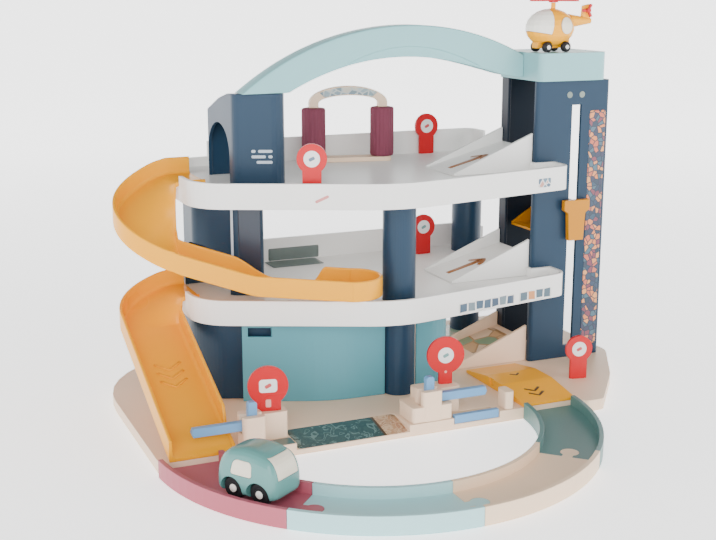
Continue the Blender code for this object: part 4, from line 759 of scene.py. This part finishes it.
wash_print = patchwork("wash_arch_vinyl", 70, 10, 9,
                       ("#7E95A0", "#A9B9BC", "#6F8791", "#C9C3B4", "#8FA3AB"), "#B9C0BE", 0.1)
label("wash_arch_print", wash_spot, wash_across, upright, 76, 9.5, wash_print, "garage",
      1.5, 0.15, over_arch)


# Wheel hubs and helicopter windows
# Small white ABS caps pressed on the axles' ends, and round cream inserts on both sides of the
# helicopter's cabin, flush with its shell.

hub_white = moulded("white_hub_abs", "#EDEAE2", 0.28, 0.2, 0.2)


def dome(name, centre, axis, radius, height, material, body):
    """A round cap on a level axis: rings of radius r cos(b) raised by h sin(b), b in -30 to 80."""
    axis = np.asarray(axis, float) / np.linalg.norm(axis)
    side = np.cross(axis, (0.0, 0.0, 1.0))
    side /= np.linalg.norm(side)
    other = np.cross(axis, side)
    b = np.radians(np.array((-30.0, 0, 20, 40, 60, 80)))[:, None, None]
    a = np.linspace(0, 2 * math.pi, 29)[:-1][None, :, None]
    ring = radius * np.cos(b) * (np.cos(a) * side + np.sin(a) * other)
    points = np.asarray(centre, float) + ring + height * np.sin(b) * axis
    return grid_piece(name, points, material, body, wrap=True, ends=True)


def toy_axes(x, y, z, heading):
    """The directions to a toy's nose and to its left, and its foot, from its heading in degrees."""
    a = math.radians(heading)
    return (np.array((math.cos(a), math.sin(a), 0.0)), np.array((-math.sin(a), math.cos(a), 0.0)),
            np.array((x, y, z), float))


def hubs(toy, axes, axles, half_track, axle_high, radius, height):
    """A cap on both ends of a toy's front and rear axles."""
    nose, left, foot = axes
    for end, x in axles:
        for side, name in ((1, "left"), (-1, "right")):
            spot = foot + nose * x + left * side * half_track + np.array((0, 0, axle_high))
            dome(f"{toy}_hub_{end}_{name}", spot, left * side, radius, height, hub_white,
                 f"{toy}_{end}_axle")


hubs("car", toy_axes(-243.861, -184.098, 8.3, 304.1), (("front", 16.0), ("rear", -16.0)),
     21.3, 12.0, 4.4, 1.0)
heli_nose, heli_left, heli_foot = toy_axes(248, 87, 417.6, 182)
hubs("helicopter", (heli_nose, heli_left, heli_foot), (("front", 16.0), ("rear", -12.0)),
     16.8, 6.5, 2.9, 0.8)


def on_egg(side):
    """A shape that drapes a label on one side of the helicopter's body.

    The body is an ellipsoid of 34 by 23 by 24 mm about (4, 0, 30), and the label lies 0.3 mm
    outside it: y = 23 sqrt(1 - ((x - 4) / 34)^2 - ((z - 30) / 24)^2) + 0.3.
    """
    def drape(points):
        """Move the points across the toy to their height over its middle plane."""
        x, z = (points - heli_foot) @ heli_nose, (points - heli_foot)[..., 2]
        inside = np.clip(1 - ((x - 4) / 34) ** 2 - ((z - 30) / 24) ** 2, 0.02, 1)
        y = side * (23 * np.sqrt(inside) + 0.3)
        return (heli_foot + x[..., None] * heli_nose + y[..., None] * heli_left
                + z[..., None] * np.array((0, 0, 1.0)))
    return drape


window_spot = heli_foot - heli_nose * 8 + np.array((0, 0, 33.0))
for side, name in ((1, "left"), (-1, "right")):
    label(f"helicopter_window_{name}", window_spot, heli_nose * -side, upright, 21, 21, glazing,
          "helicopter", 10.4, 0.0, on_egg(side))


# Floor, light and camera
# A white table of card that sweeps up far behind the toy, two large soft lights in front, and a
# bright room all round. The camera stands in front on the left and looks down by 13 degrees.

def stage_floor():
    """A sheet of 18 m, level to r = 3.5 m, and beyond it 2500 ((r - 3500) / 5500)^2 mm high."""
    half_side, level_radius, sweep_length, sweep_rise, count = 9000, 3500, 5500, 2500, 65
    ticks = np.linspace(-half_side, half_side, count)
    x, y = np.meshgrid(ticks, ticks)
    beyond = np.clip(np.hypot(x, y) - level_radius, 0, None)
    height = sweep_rise * (beyond / sweep_length) ** 2 - 0.6
    points = np.stack([x, y, height], axis=-1).reshape(-1, 3)
    mesh = bpy.data.meshes.new("table")
    index = np.arange(count * count).reshape(count, count)
    faces = np.stack([index[:-1, :-1], index[:-1, 1:], index[1:, 1:], index[1:, :-1]], axis=-1)
    mesh.from_pydata((points * 0.001).tolist(), [], faces.reshape(-1, 4).tolist())
    mesh.shade_smooth()
    table = bpy.data.materials.new("white_table")
    table.use_nodes = True
    tree = table.node_tree
    shader = tree.nodes["Principled BSDF"]
    shader.inputs["Base Color"].default_value = linear("#FAFAFA")
    shader.inputs["Roughness"].default_value = 0.6
    shader.inputs["Emission Color"].default_value = linear("#FFFFFF")
    # The table glows a little, and more from 0.3 m to 2.5 m off its middle, so that it looks
    # white and has no horizon
    place = add(tree, "ShaderNodeTexCoord")
    away = add(tree, "ShaderNodeVectorMath", {"operation": "LENGTH"}, {0: (place, "Object")})
    glow = add(tree, "ShaderNodeMapRange",
               {"From Min": 0.3, "From Max": 2.5, "To Min": 1.55, "To Max": 2.6},
               {"Value": (away, "Value")})
    tree.links.new(glow.outputs["Result"], shader.inputs["Emission Strength"])
    mesh.materials.append(table)
    thing = bpy.data.objects.new("table", mesh)
    bpy.context.scene.collection.objects.link(thing)


stage_floor()
world = bpy.data.worlds.new("room")
world.use_nodes = True
world.node_tree.nodes["Background"].inputs["Color"].default_value = (1.0, 1.0, 1.0, 1.0)
world.node_tree.nodes["Background"].inputs["Strength"].default_value = 0.4
bpy.context.scene.world = world

# Name, place and side in metres, and power in watts
toy_middle = np.array((0, 0, 0.2))
for name, spot, size, power in (("key", (-1.5, -2.5, 1.7), 1.8, 46.0),
                                ("fill", (2.1, -2.0, 1.3), 1.6, 13.0)):
    lamp = bpy.data.lights.new(name, "AREA")
    lamp.size = size
    lamp.energy = power
    thing = bpy.data.objects.new(name, lamp)
    thing.location = spot
    aim = toy_middle - np.array(spot)
    level = math.hypot(aim[0], aim[1])
    thing.rotation_euler = (math.atan2(level, -aim[2]), 0.0, math.atan2(-aim[0], aim[1]))
    bpy.context.scene.collection.objects.link(thing)

camera = bpy.data.cameras.new("camera")
camera.lens = 60.3
camera.sensor_width = 36.0
look_down = 13.36
look_along = (0.397, 0.918)
viewer = bpy.data.objects.new("camera", camera)
viewer.location = (-0.5927, -1.2364, 0.500)
viewer.rotation_euler = (math.radians(90 - look_down), 0.0,
                         math.atan2(-look_along[0], look_along[1]))
bpy.context.scene.collection.objects.link(viewer)
bpy.context.scene.camera = viewer
